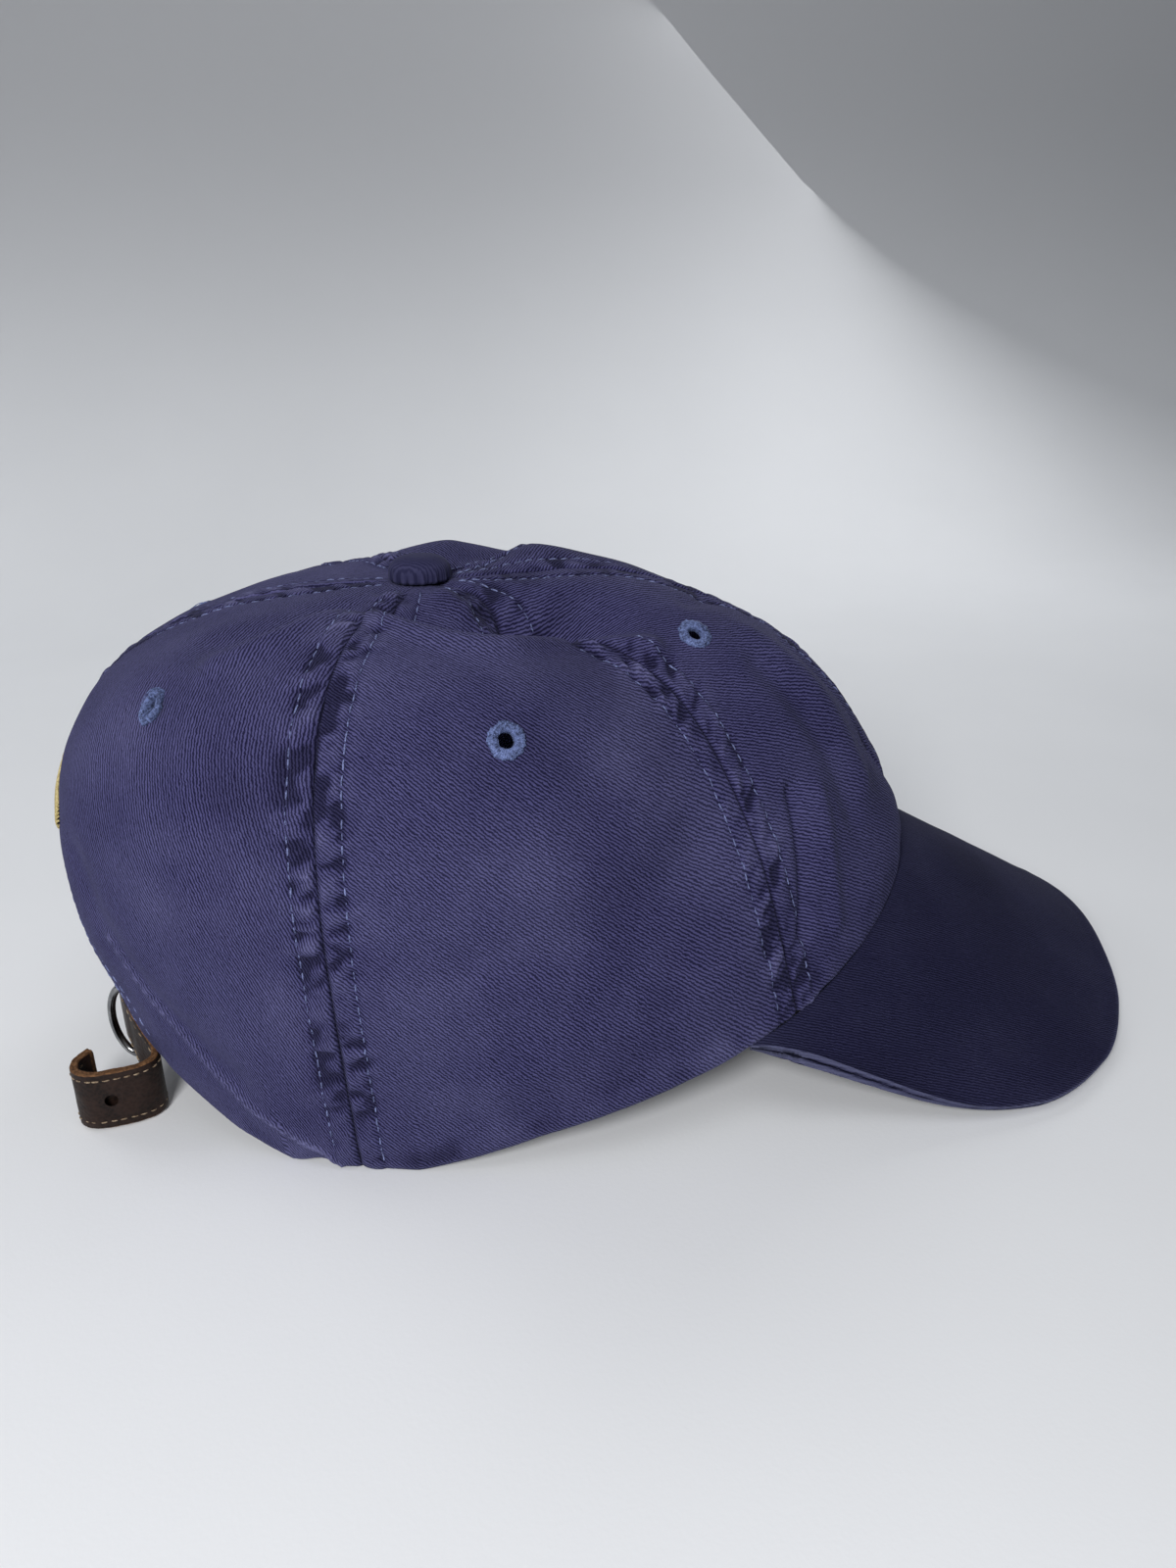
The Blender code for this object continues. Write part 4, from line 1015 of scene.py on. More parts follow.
def uneven(around, count, chance):
    """Random values from -1 to 1 on a closed line with this many steps, at the angles around it."""
    places = np.linspace(0.0, 2.0 * math.pi, count + 1)
    return np.interp(around, places, chance.uniform(-1, 1, count + 1), period=2.0 * math.pi)


def make_eyelet(place, hand):
    """A ring of wrapped thread round a hole, with an uneven edge and a few loose turns."""
    chance = np.random.default_rng({"front": 1, "side": 2, "back": 3}[place] + (3 if hand == "left" else 0))
    centre, normal, across = eyelet_frame(place, HANDS[hand])
    down = unit(np.cross(across, normal))
    squashed = place == "back" and hand == "right"
    wide, tall, tilt = (0.62, 1.05, 0.5) if squashed else (1.0, 1.0, 0.0)

    def lay(radius, way, rise):
        """Points at polar places on the cloth, raised this much."""
        level = (wide * radius * np.cos(way))[..., None] * across
        return centre + level + (tall * radius * np.sin(way))[..., None] * down + rise[..., None] * normal

    sides, rings = 6 * EYELET_WRAPS, 20
    around = np.linspace(0.0, 2.0 * math.pi, sides, endpoint=False)
    reach = EYELET_RADIUS * (1.0 + 0.07 * uneven(around, EYELET_WRAPS, chance))
    bore = EYELET_BORE * (1.0 + 0.10 * uneven(around, 12, chance))
    ridge = 0.26 * np.abs(np.cos(0.5 * EYELET_WRAPS * around))[:, None] - 0.16
    section = np.linspace(0.0, 2.0 * math.pi, rings, endpoint=False)
    half, mid = 0.5 * (reach - bore)[:, None], 0.5 * (reach + bore)[:, None]
    radius = mid - half * np.cos(section) * (1.0 + 0.3 * ridge)
    lift = 0.72 * np.sin(section) * (1.0 + ridge) + np.where(np.sin(section) > 0, 0.12, -PANEL_THICKNESS)
    points = lay(radius, around[:, None] + tilt, lift)
    parts = [(points.reshape(-1, 3), grid_faces(sides, rings, True, True))]
    for _ in range(9 if squashed else 4):
        begin = chance.uniform(0.0, 2.0 * math.pi)
        way = np.linspace(begin, begin + chance.uniform(0.5, 1.3), 14)
        spot = chance.uniform(2.0, 3.6) + chance.uniform(-0.5, 0.9) * np.linspace(0.0, 1.0, 14)
        rise = 0.78 + 0.25 * np.sin(np.linspace(0.0, math.pi, 14))
        parts.append(tube_mesh(lay(spot, way, rise), 0.11, 6, normal))
    name = f"thread_eyelet_{place}_{hand}"
    make_piece(name, *joined(parts), EYELET_THREAD, replaces=[f"{place}_eyelet_{hand}"], slot="eyelet_thread")


# ---------------------------------------------------------------- button


def make_button():
    """Cloth drawn over a domed cap, gathered under its edge."""
    foot = BUTTON_POINT + BUTTON_LIFT * UP
    sides, rings = 144, 40
    around = np.linspace(0.0, 2.0 * math.pi, sides, endpoint=False)[:, None]
    turn = np.radians(np.linspace(0.0, 128.0, rings))[None, :]
    low = smooth_step(np.degrees(turn), 62.0, 110.0)
    gathers = low * (0.20 * np.cos(17.0 * around + 0.8 * np.sin(3.0 * around)) + 0.10 * np.cos(29.0 * around))
    under = [90.0, 102.0, 112.0, 128.0]
    skirt = np.interp(np.degrees(turn), under, [BUTTON_RADIUS, BUTTON_RADIUS, 7.1, 4.2])
    radius = np.where(turn < 0.5 * math.pi, BUTTON_RADIUS * np.sin(turn) ** 0.8, skirt) + gathers
    dome = np.maximum(np.cos(turn), 0.0) ** 0.75 * (BUTTON_HEIGHT - 1.0) + 1.2
    rise = np.where(turn < 0.5 * math.pi, dome, np.interp(np.degrees(turn), under, [1.2, 0.2, -0.35, -0.45]))
    rise = rise - 0.15 * bell(radius, 3.5) + 0.0 * around
    points = np.stack([radius * np.cos(around), radius * np.sin(around), rise], -1) + foot
    uv = np.stack([radius * np.cos(around + 0.5), radius * np.sin(around + 0.5)], -1).reshape(-1, 2)
    # Paler round the dome's shoulder and on the gathers' crests as wear; the gathers' hollows get low values,
    # which paint shade into them.
    pale_and_shade = np.clip(0.4 + 0.35 * bell(np.degrees(turn) - 66.0, 16.0) + 1.2 * gathers, 0.0, 1.0)
    faces = grid_faces(sides, rings, wrap_rows=True)
    make_piece(
        "button_cloth",
        points.reshape(-1, 3),
        faces,
        BUTTON_CLOTH,
        uv=uv,
        pale_and_shade=pale_and_shade.ravel(),
        replaces=["button_cover"],
        slot="button_cloth",
    )


# ---------------------------------------------------------------- inside the crown


def level_weave(angle, v, down):
    """Weave coordinates of a lining: level millimetres, and those down it."""
    return np.stack([angle * mm_per_degree(angle, v), down], -1)


def make_tape(name, replaced, angle, v, thickness):
    """A strip inside the crown with rounded long edges, from (across, along) grids."""
    edge = np.linspace(-1.0, 1.0, len(angle))[:, None] + 0.0 * angle
    curl = np.clip((np.abs(edge) - 0.86) / 0.14, 0.0, 1.0) ** 2
    wave = 0.12 * soft_noise(np.stack([angle / 2.5, 60.0 * v, edge], -1), 1.0, 8)
    outer = lining(angle, v, LINING_DEPTH + 0.3 * thickness * curl)
    inner = lining(angle, v, LINING_DEPTH + thickness * (1.0 - 0.35 * curl) + wave)
    weave = level_weave(angle, v, distances(angle, v)[0])
    make_sheet(name, outer, inner, TAPE, weave, replaces=[replaced], slot="tape_cloth")


def make_seam_tapes():
    """A tape over each seam inside the crown, with a row of stitching along each side."""
    for seam, name in zip(SEAMS, SEAM_NAMES):
        above = ARCH_HEIGHT + BINDING_WIDTH + 2.0 if name == "back" else TAPE_ABOVE_RIM
        down = np.linspace(TAPE_START_RADIUS, full_length(seam) - above, 140)
        v = v_at(seam, down)
        reach = np.linalg.norm(crown_point(seam, v)[:, :2] - BUTTON_POINT[:2], axis=-1)
        half = np.minimum(TAPE_HALF_WIDTH, 0.31 * reach - SEAM_GAP)
        share = np.linspace(-1.0, 1.0, 15)[:, None]
        grid_v = v[None, :] + 0.0 * share
        angle = seam + share * half / mm_per_degree(seam, grid_v)
        make_tape(f"tape_{name}", f"seam_tape_{name}", angle, grid_v, TAPE_THICKNESS)
        parts = []
        for side in (-1.0, 1.0):
            row = seam + side * (half - 0.9) / mm_per_degree(seam, v)
            inside = lining(row, v, LINING_DEPTH + TAPE_THICKNESS + 0.08)
            normal, _ = crown_normal(soft_crown, row, v)
            parts.append(stitches(inside[4:], -normal[4:], 300 + int(seam) + int(side)))
        make_piece(f"tape_stitches_{name}", *joined(parts), SEAM_THREAD, slot="eyelet_thread")


def make_sweatband():
    """One soft band round the head, with a turned top edge and stitching at both edges."""
    angle = np.linspace(-SWEATBAND_END, SWEATBAND_END, 420)[None, :]
    above = np.linspace(SWEATBAND_TOP, SWEATBAND_LOW, 26)[:, None]
    angle, above = np.broadcast_arrays(angle, above)
    v = v_at(angle, -above)
    depth = LINING_DEPTH + TAPE_THICKNESS + 0.45
    middle, half = 0.5 * (SWEATBAND_TOP + SWEATBAND_LOW), 0.5 * (SWEATBAND_TOP - SWEATBAND_LOW)
    curl = np.clip((np.abs(above - middle) / half - 0.93) / 0.07, 0.0, 1.0) ** 2
    place = np.stack([angle * 1.6 / 6.0, above / 14.0, 0.0 * angle], -1)
    gathers = 0.16 * soft_noise(3.0 * place, 1.0, 10) * bell(above - SWEATBAND_TOP + 3.0, 5.0)
    ripple = 0.30 * soft_noise(place, 1.0, 9) + gathers
    rows = (SWEATBAND_TOP - EDGE_ROW, SWEATBAND_LOW + EDGE_ROW)
    groove = 0.22 * bell(above - rows[0], 0.7) + 0.22 * bell(above - rows[1], 0.7)
    outer = lining(angle, v, depth + 0.3 * curl)
    uneven_depth = SWEATBAND_THICKNESS * (1.0 - 0.35 * curl) + ripple * (1.0 - curl) - groove
    inner = lining(angle, v, depth + uneven_depth)
    weave = level_weave(angle, v, above)
    make_sheet("band_cloth", outer, inner, BAND, weave, replaces=["sweatband"], slot="sweatband_cloth")
    parts = []
    for number, height in enumerate(rows):
        row = np.linspace(-SWEATBAND_END + 1.0, SWEATBAND_END - 1.0, 420)
        row_v = v_at(row, -height)
        inside = lining(row, row_v, depth + SWEATBAND_THICKNESS - 0.1)
        normal, _ = crown_normal(soft_crown, row, row_v)
        parts.append(stitches(inside, -normal, 60 + number))
    make_piece("band_stitches", *joined(parts), SEAM_THREAD, slot="eyelet_thread")


def make_opening_binding():
    """A strip that follows the opening's edge inside the crown."""
    turn, hand = round_arch(12.0, 90)
    rings = [arch(turn, beyond) for beyond in np.linspace(0.5, BINDING_WIDTH, 13)]
    angle = np.stack([hand * ring[0] for ring in rings])
    v = v_at(angle, -np.stack([ring[1] for ring in rings]))
    make_tape("binding_cloth", "opening_binding", angle, v, BINDING_THICKNESS)


def make_label():
    """A blank satin label, sewn along its top edge and lifting slightly below."""
    angle = np.linspace(LABEL_ANGLE - LABEL_HALF_ANGLE, LABEL_ANGLE + LABEL_HALF_ANGLE, 30)[:, None]
    above = np.linspace(*LABEL_ABOVE_RIM, 40)[None, :]
    angle, above = np.broadcast_arrays(angle, above)
    v = v_at(angle, -above)
    lift = 0.9 * smooth_step(LABEL_ABOVE_RIM[0] - above, 4.0, 24.0) + 0.1 * np.sin(above * 0.9)
    outer, inner = (lining(angle, v, LINING_DEPTH + inward + lift) for inward in (0.1, 0.35))
    weave = level_weave(angle, v, above)
    make_sheet("blank_label", outer, inner, LABEL, weave, replaces=["care_label"], slot="label_cloth")


def make_embroidery():
    """A satin-stitched bar: threads side by side across it, rounded at both ends."""
    chance = np.random.default_rng(5)
    high, low = EMBROIDERY_ABOVE_RIM
    up = np.linspace(-1.0, 1.0, 13)
    parts = []
    for share in np.linspace(-1.0, 1.0, EMBROIDERY_THREADS):
        angle = 180.0 + share * EMBROIDERY_HALF_ANGLE
        half = 0.5 * (high - low) * (1.0 - max(0.0, (abs(share) - 0.86) / 0.14) ** 2 * 0.75)
        above = 0.5 * (low + high) + up * half * chance.uniform(0.96, 1.03)
        slant = angle + chance.uniform(-0.12, 0.12) + 0.35 * up
        domed = 0.62 * (1.0 - np.abs(up) ** 3.0) + 0.02 + chance.uniform(0.0, 0.06)
        point, normal, _ = on_cloth(slant, v_at(slant, -above), domed)
        parts.append(tube_mesh(point, 0.28, 7, normal, 0.8))
    replaced = ["embroidery_bar"]
    make_piece("satin_bar", *joined(parts), GOLD_THREAD, replaces=replaced, slot="embroidery_thread")


# ---------------------------------------------------------------- visor


def visor_edge(share):
    """The visor's lower outer edge, from share -1 at its left corner to 1 at its right one."""
    half = np.array(VISOR_EDGE)
    knots = np.concatenate([-half[::-1, 0], half[1:, 0]])
    places = np.concatenate([half[::-1, 1:], half[1:, 1:] * [1.0, -1.0, 1.0]])
    slopes = np.gradient(places, knots, axis=0)
    k = np.clip(np.searchsorted(knots, share) - 1, 0, len(knots) - 2)
    gap = (knots[k + 1] - knots[k])[:, None]
    t = ((share - knots[k])[:, None]) / gap
    first, second = places[k], places[k + 1]
    curve = (2 * t**3 - 3 * t**2 + 1) * first + (t**3 - 2 * t**2 + t) * gap * slopes[k]
    curve += (3 * t**2 - 2 * t**3) * second + (t**3 - t**2) * gap * slopes[k + 1]
    curve[:, 2] = np.maximum(curve[:, 2], 0.0)
    return curve


def ruled(first, second, t):
    """Points of a ruled sheet between two edges, and its upward normals."""
    sheet = first[:, None] * (1.0 - t[..., None]) + second[:, None] * t[..., None]
    across = np.gradient(sheet, axis=0)
    normal = np.cross(across, (second - first)[:, None] + 0.0 * sheet)
    normal *= np.sign(normal[..., 2:])
    return sheet, normal / np.linalg.norm(normal, axis=-1, keepdims=True)


def visor_sheet(share, t, lift):
    """The visor's lower face raised by lift. t goes from the crown to the outer edge."""
    angle = -share * VISOR_CORNER
    rim = rim_point(angle) + VISOR_SETBACK * np.concatenate([outward(angle), np.zeros((len(share), 1))], 1)
    rim[:, 2] -= VISOR_DROP
    outer = visor_edge(share)
    normal_at_rim = ruled(rim, outer, np.zeros((len(share), 1)))[1][:, 0]
    sheet, normal = ruled(rim - VISOR_TOTAL * normal_at_rim, outer, t)
    return sheet + np.asarray(lift)[..., None] * normal, normal


def make_visor():
    """Two cloth covers whose lips meet in a seam rubbed pale round the outer edge."""
    share = np.sin(0.5 * math.pi * np.linspace(-1.0, 1.0, 271))
    edge, rim = visor_edge(share), rim_point(-share * VISOR_CORNER)
    to_end = np.minimum(lengths_along(edge), lengths_along(edge[::-1])[::-1])[:, None]
    end_curl = round_over(to_end, 1.6)
    width = np.linalg.norm(edge - rim, axis=1)[:, None]
    out_way = unit(np.concatenate([edge[:, :2] - rim[:, :2], np.zeros((len(share), 1))], 1))[:, None]
    out_reach = np.minimum(1.0, width / 12.0)[..., None]
    tuck = VISOR_TUCK / width
    t = -tuck + (1.0 + tuck) * np.linspace(0.0, 1.0, VISOR_ROWS)[None, :]
    from_edge, from_rim = (1.0 - t) * width, t * width
    roll = np.linspace(0.0, 1.0, 9)[1:]
    lip_t = np.ones((len(share), len(roll)))
    for name, face, sign in (("top", VISOR_TOTAL, 1.0), ("under", 0.0, -1.0)):
        drop = abs(face - (0.5 * VISOR_TOTAL + sign * 0.12))
        flat, _ = visor_sheet(share, t, np.full(t.shape, face))
        rough = 0.14 * soft_noise(flat, 11.0, 12) + 0.22 * soft_noise(flat, 30.0, 13)
        quiet = smooth_step(from_edge, 0.5, 8.0) * smooth_step(from_rim, 1.0, 8.0)
        puff = 0.10 * bell(from_edge - 2.2, 1.4) - 0.12 * bell(from_edge - 4.4, 0.8)
        ripple = 0.10 * soft_noise(flat, 3.6, 14) * bell(from_edge - 2.0, 3.0)
        lift = face + sign * (np.minimum(rough, 0.25) * quiet + (puff + ripple) * smooth_step(t, 0.0, 0.2))
        grids = [visor_sheet(share, t, lift - sign * drop * end_curl)[0]]
        for bend in 0.5 * math.pi * roll:
            height = face - sign * drop * (1.0 - (1.0 - end_curl) * math.cos(bend))
            lip, _ = visor_sheet(share, lip_t[:, :1], height)
            grids.append(lip + VISOR_LIP * math.sin(bend) * out_reach * out_way)
        outer = off_floor(np.concatenate(grids, 1))
        inner_t = np.minimum(np.concatenate([t, lip_t], 1), 1.0 - 0.6 / width)
        inner, _ = visor_sheet(share, inner_t, np.full(inner_t.shape, face - sign * VISOR_COVER))
        inner[:, VISOR_ROWS:, 2] -= np.linspace(0.0, sign, len(roll)) * max(0.0, drop - VISOR_COVER - 0.05)
        past_edge = np.concatenate([from_edge, -roll * lip_t], 1)
        wear_and_shade = 0.22 + 0.16 * soft_noise(outer, 24.0, 15) + 0.85 * bell(past_edge + 0.4, 0.6)
        wear_and_shade = wear_and_shade + 0.85 * bell(to_end - 0.3, 0.5) + 0.2 * bell(from_rim[:, :1], 1.5)
        weave = turned(outer[..., 0], outer[..., 1], VISOR_TWILL_TURN)
        weave[..., 1] += 0.6 * outer[..., 2]
        make_sheet(
            f"visor_cloth_{name}",
            outer,
            off_floor(inner),
            VISOR,
            weave,
            np.clip(wear_and_shade, 0.0, 1.0),
            replaces=[f"visor_{name}_cover"],
            slot="visor_twill",
        )


# ---------------------------------------------------------------- strap, buckle and tab


def level_sides(path):
    """Level unit vectors to the left of a path."""
    way = np.gradient(path, axis=0)
    return unit(np.stack([-way[:, 1], way[:, 0], np.zeros(len(path))], 1))


def bend(x, y, wide, tall, first, last, count):
    """Points of a bend round (x, y), from one angle in degrees to another."""
    turns = np.radians(np.linspace(first, last, count))
    return [(x + wide * math.cos(a), y + tall * math.sin(a)) for a in turns]


def strip_outline(width, thickness):
    """Points round a strip's rounded section, as (across its thickness, up its width)."""
    thick, half = 0.5 * thickness, 0.5 * width
    x, y = thick - CUT_EDGE, half - CUT_EDGE
    outline = [(thick, up) for up in np.linspace(-y, y, 12)]
    outline += bend(x, y, CUT_EDGE, CUT_EDGE, 0.0, 90.0, 5)[1:-1]
    outline += [(across, half) for across in np.linspace(x, -x, 6)]
    outline += bend(-x, y, CUT_EDGE, CUT_EDGE, 90.0, 180.0, 5)[1:-1]
    return np.concatenate([outline, -np.array(outline)])


def end_cap(section, way):
    """Rings that close a strip's end, from its last section outwards."""
    centre = section.mean(0)
    return np.array([centre + (section - centre) * size + reach * way for size, reach in END_CAP])


def strip_mesh(path, width, thickness, seed):
    """A leather strip on edge, slightly uneven, with raw edges and raw ends."""
    outline = strip_outline(width, thickness)
    side = level_sides(path)
    sections = path[:, None] + outline[None, :, :1] * side[:, None] + outline[None, :, 1:] * UP
    rough = 0.10 * soft_noise(sections, 2.2, seed) + 0.14 * soft_noise(sections, 7.0, seed + 1)
    edge = smooth_step(np.abs(outline[:, 1]), 0.5 * width - 0.5, 0.5 * width - 0.12) + 0.0 * rough
    sections = sections + (rough * (1.0 - 0.4 * edge))[..., None] * side[:, None]
    sections[..., 2] += edge * 0.16 * soft_noise(sections, 1.3, seed + 2)
    sections[..., 2] -= 0.16 * edge * bell(outline[:, 0], 0.22) * np.sign(outline[:, 1])
    start = end_cap(sections[0], unit(path[0] - path[1]))
    end = end_cap(sections[-1], unit(path[-1] - path[-2]))
    grid = off_floor(np.concatenate([start[::-1], sections, end]))
    raw = np.ones((len(END_CAP), len(outline)))
    edge[:2] = np.maximum(edge[:2], 0.6)
    edge[-2:] = np.maximum(edge[-2:], 0.6)
    faces = grid_faces(len(grid), len(outline), wrap_columns=True)
    return grid.reshape(-1, 3), faces, np.concatenate([raw, edge, raw]).ravel()


def cut_holes(obj, cutters):
    """Cuts round holes through a finished mesh and leaves no modifier on it."""
    for name, place, axis, radius, depth in cutters:
        turn = Vector((0.0, 0.0, 1.0)).rotation_difference(Vector(axis)).to_matrix().to_4x4()
        mesh = bpy.data.meshes.new(name)
        count = HOLE_SIDES
        ring = [heading(360.0 * k / count) for k in range(count)]
        points = [(radius * x, radius * y, z * 0.5 * depth) for z in (-1.0, 1.0) for x, y, _ in ring]
        faces = [list(range(count))[::-1], list(range(count, 2 * count))]
        faces += [[k, (k + 1) % count, count + (k + 1) % count, count + k] for k in range(count)]
        mesh.from_pydata([tuple(p) for p in points], [], faces)
        mesh.transform(Matrix.Diagonal((MM, MM, MM, 1.0)))
        mesh.transform(Matrix.Translation(Vector(to_row(place))) @ turn)
        cutter = bpy.data.objects.new(name, mesh)
        bpy.context.scene.collection.objects.link(cutter)
        boolean = obj.modifiers.new(name, "BOOLEAN")
        boolean.operation = "DIFFERENCE"
        boolean.solver = "EXACT"
        boolean.object = cutter
        cutter.hide_render = True
    graph = bpy.context.evaluated_depsgraph_get()
    done = bpy.data.meshes.new_from_object(obj.evaluated_get(graph), depsgraph=graph)
    obj.modifiers.clear()
    obj.data = done
    for name, *_ in cutters:
        bpy.data.objects.remove(bpy.data.objects[name])
    done.set_sharp_from_angle(angle=math.radians(50.0))


def make_strap():
    """One strap from the opening through the buckle to its curled tail, turning down at the buckle."""
    path, along = smooth_path(STRAP_ROUTE, 0.8)
    points, faces, pale_and_shade = strip_mesh(path, STRAP_WIDTH, STRAP_THICKNESS, 21)
    strap = make_piece(
        "strap_leather",
        points,
        faces,
        LEATHER,
        body=None,
        pale_and_shade=pale_and_shade,
        replaces=["leather_strap", "strap_tail"],
        slot="strap_leather",
    )
    side = level_sides(path)
    cutters = []
    for number, distance in enumerate(STRAP_HOLES, 1):
        k = int(np.argmin(np.abs(along - distance)))
        place, depth = path[k], STRAP_HOLE_DEPTH
        if number == len(STRAP_HOLES):
            place, depth = place + BLIND_HOLE_SHIFT * side[k], BLIND_HOLE_DEPTH
        cutters.append((f"punch_{number}", place, side[k], STRAP_HOLE_RADIUS, depth))
    cut_holes(strap, cutters)
    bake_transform(strap)
    parts = []
    for number, (height, face) in enumerate(((-1.0, -1.0), (-1.0, 1.0), (1.0, -1.0), (1.0, 1.0))):
        line = path + face * 0.5 * STRAP_THICKNESS * side + height * (0.5 * STRAP_WIDTH - STRAP_ROW) * UP
        parts.append(stitches(line[4:-3], face * side[4:-3], 70 + number, **LEATHER_STITCH))
    rows = make_piece("strap_stitches", *joined(parts), PALE_THREAD, body=None, slot="strap_leather")
    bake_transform(rows)


def heading(degrees):
    return np.array([math.cos(math.radians(degrees)), math.sin(math.radians(degrees)), 0.0])


def make_wire(name, body, points, faces):
    """A wire piece of the buckle. Its body has the name of the part it replaces."""
    make_piece(name, points, faces, NICKEL, body=body, replaces=[body], slot="buckle_metal")


def make_buckle():
    """A polished bent-wire frame that swings on its bar, and a prong on the same bar."""
    bar = np.array([*BUCKLE_BAR, BUCKLE_HEIGHT])
    out = heading(BUCKLE_HEADING)
    corner, top = BUCKLE_CORNER, BUCKLE_HALF_HEIGHT
    outline = [(0.0, height) for height in np.linspace(corner - top, top - corner, 12)[:-1]]
    outline += bend(corner, top - corner, corner, corner, 180.0, 90.0, 9)
    outline += bend(BUCKLE_STRAIGHT, 0.0, BUCKLE_ROUND, top, 90.0, -90.0, 49)
    outline += bend(corner, corner - top, corner, corner, 270.0, 180.0, 9)[:-1]
    outline = np.array(outline)
    centre = bar + outline[:, :1] * out + outline[:, 1:] * UP
    frame_mesh = tube_mesh(centre, BUCKLE_WIRE, 24, np.cross(out, UP), closed=True)
    make_wire("buckle_wire", "buckle_frame", *frame_mesh)
    tongue, left = heading(PRONG_HEADING), heading(PRONG_HEADING + 90.0)
    eye_radius = BUCKLE_WIRE + SEAM_GAP + PRONG_WIRE
    wrap = [bar + eye_radius * heading(PRONG_HEADING + 130.0 + 6.25 * k) for k in range(41)]
    knots = [bar + a * tongue + b * left for a, b in PRONG_KNOTS]
    reach, _ = smooth_path([wrap[-1], *knots], 0.4)
    line = np.array([*wrap[:-1], *reach])
    taper = np.full(len(line), PRONG_WIRE)
    taper[-6:] *= [0.97, 0.92, 0.84, 0.7, 0.48, 0.12]
    taper[:2] *= [0.2, 0.8]
    make_wire("prong_wire", "buckle_prong", *tube_mesh(line, taper, 18, UP))


def make_tab():
    """A strip of leather folded round the buckle's bar, with a slot for the prong, sewn behind it."""
    bar = np.array([*BUCKLE_BAR, BUCKLE_HEIGHT])
    centre_line, _ = smooth_path([(x, y, BUCKLE_HEIGHT) for x, y in TAB_ROUTE], 0.8)
    side = level_sides(centre_line)
    wrap_radius = BUCKLE_WIRE + SEAM_GAP + 0.55
    far = np.linalg.norm(centre_line - bar, axis=1) > wrap_radius + 0.9
    centre_line, side = centre_line[far], side[far]
    one, two = (centre_line + 0.56 * side)[::-1], centre_line - 0.56 * side
    first, last = (math.degrees(math.atan2(*(end - bar)[1::-1])) for end in (one[-1], two[0]))
    sweep = (last - first) % 360.0
    arc = [bar + wrap_radius * heading(first + sweep * k / 24.0) for k in range(2, 23)]
    path, _ = smooth_path(np.concatenate([one[::3], arc, two[::3]]), 0.6)
    points, faces, pale_and_shade = strip_mesh(path, TAB_HEIGHT, TAB_THICKNESS, 31)
    tab = make_piece(
        "tab_leather", points, faces, LEATHER, pale_and_shade=pale_and_shade, replaces=["buckle_tab"], slot="strap_leather"
    )
    cut_holes(tab, [("tab_slot", bar, (0.0, 0.0, 1.0), 2.0 * wrap_radius, TAB_SLOT)])
    parts = []
    for number, height in enumerate((-1.0, 1.0)):
        line = centre_line - 1.12 * side + height * (0.5 * TAB_HEIGHT - TAB_ROW) * UP
        parts.append(stitches(line, -side, 80 + number, **LEATHER_STITCH))
    make_piece("tab_stitches", *joined(parts), PALE_THREAD, slot="strap_leather")


# ---------------------------------------------------------------- stage


def make_stage():
    """A pale floor that curves up into a backdrop."""
    start, radius, top, half_width, under = 0.42, 0.30, 2.2, 2.4, 0.0002
    profile = [(-1.6, 0.0), (start, 0.0)]
    profile += bend(start, radius, radius, radius, -84.0, -6.0, 14)
    profile += [(start + radius, 0.34), (start + radius, top)]
    points = [(x, y, z - under) for x in (-half_width, half_width) for y, z in profile]
    count = len(profile)
    faces = [[k, count + k, count + k + 1, k + 1] for k in range(count - 1)]
    mesh = bpy.data.meshes.new("floor")
    mesh.from_pydata(points, [], faces)
    mesh.shade_smooth()
    mesh.materials.append(floor_material())
    floor = bpy.data.objects.new("floor", mesh)
    bpy.context.scene.collection.objects.link(floor)


def add_light(name, place, aim, size, power, colour=(1.0, 1.0, 1.0)):
    light = bpy.data.lights.new(name, "AREA")
    light.shape = "DISK"
    light.size = size
    light.energy = power
    light.color = colour
    obj = bpy.data.objects.new(name, light)
    obj.location = place
    obj.rotation_euler = (Vector(aim) - Vector(place)).to_track_quat("-Z", "Y").to_euler()
    bpy.context.scene.collection.objects.link(obj)


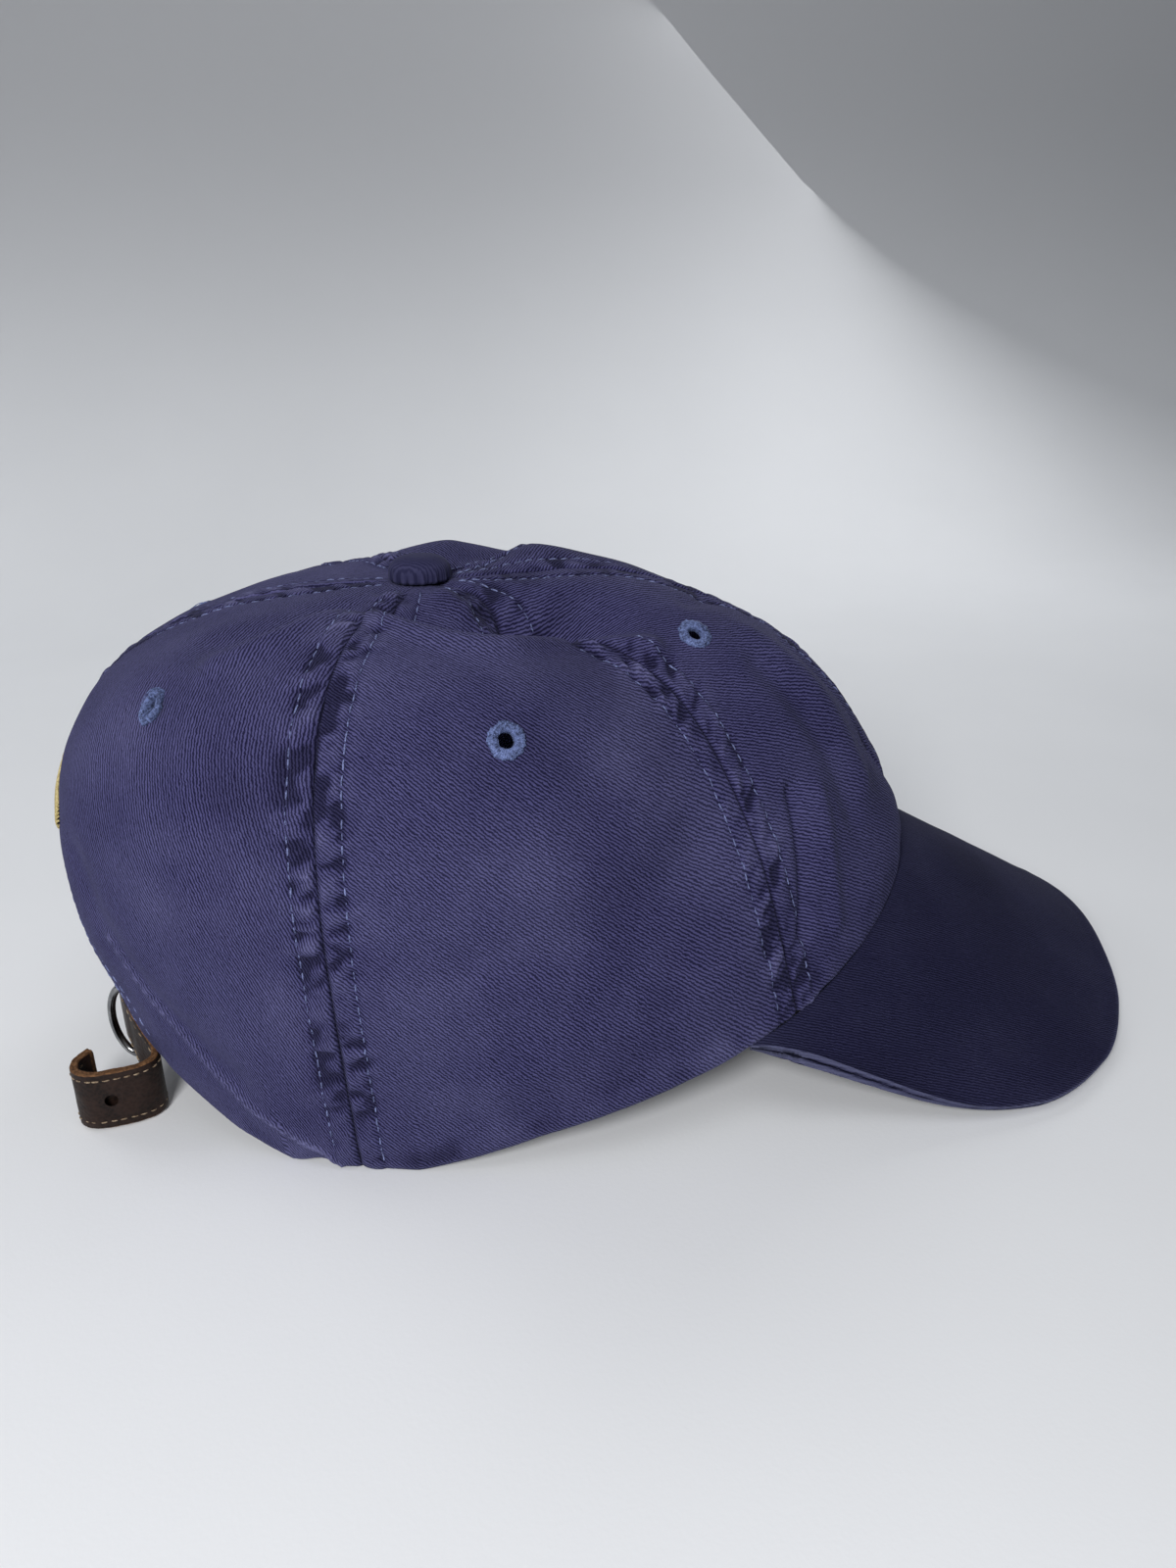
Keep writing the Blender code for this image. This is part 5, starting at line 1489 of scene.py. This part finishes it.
def make_lights():
    world = bpy.data.worlds.new("room")
    world.use_nodes = True
    world.node_tree.nodes["Background"].inputs[0].default_value = (0.82, 0.86, 0.92, 1.0)
    world.node_tree.nodes["Background"].inputs[1].default_value = 0.19
    bpy.context.scene.world = world
    middle = (-0.02, 0.0, 0.05)
    add_light("key", (-0.28, -0.60, 0.44), middle, 0.26, 4.35, (1.0, 0.985, 0.97))
    add_light("floor_glow", (0.0, -0.35, 1.3), (0.0, -0.15, 0.0), 1.0, 2.4)
    add_light("far_side", (0.35, 0.60, 0.42), middle, 0.4, 1.3)
    add_light("far_back", (-0.62, 0.40, 0.36), middle, 0.4, 1.0)


def make_camera():
    yaw, pitch, roll = (math.radians(a) for a in (CAMERA_YAW, CAMERA_PITCH, CAMERA_ROLL))
    level = np.array([math.cos(yaw), -math.sin(yaw), 0.0])
    raised = np.array([math.sin(yaw) * math.sin(pitch), math.cos(yaw) * math.sin(pitch), math.cos(pitch)])
    right = level * math.cos(roll) + raised * math.sin(roll)
    up = raised * math.cos(roll) - level * math.sin(roll)
    back = np.cross(right, up)
    data = bpy.data.cameras.new("camera")
    data.lens = CAMERA_LENS
    data.clip_start = 0.01
    camera = bpy.data.objects.new("camera", data)
    turn = Matrix([[*each] for each in zip(right, up, back)])
    camera.matrix_world = Matrix.Translation(Vector(to_row(CAMERA_PLACE))) @ turn.to_4x4()
    bpy.context.scene.collection.objects.link(camera)
    bpy.context.scene.camera = camera
    bpy.context.scene.view_settings.view_transform = "Standard"


def dress_cad():
    """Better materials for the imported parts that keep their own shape."""
    for name in ("button_shell", "button_post", "button_back_plate"):
        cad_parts[name].material_slots[0].material = STEEL
    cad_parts["visor_board"].material_slots[0].material = BOARD


def main():
    make_camera()
    make_stage()
    make_lights()
    dress_cad()
    for place in ("front", "side", "back"):
        for hand in ("left", "right"):
            make_panel(place, hand)
            make_eyelet(place, hand)
    make_seam_rows()
    make_button()
    make_seam_tapes()
    make_sweatband()
    make_opening_binding()
    make_label()
    make_embroidery()
    make_visor()
    make_strap()
    make_buckle()
    make_tab()


main()
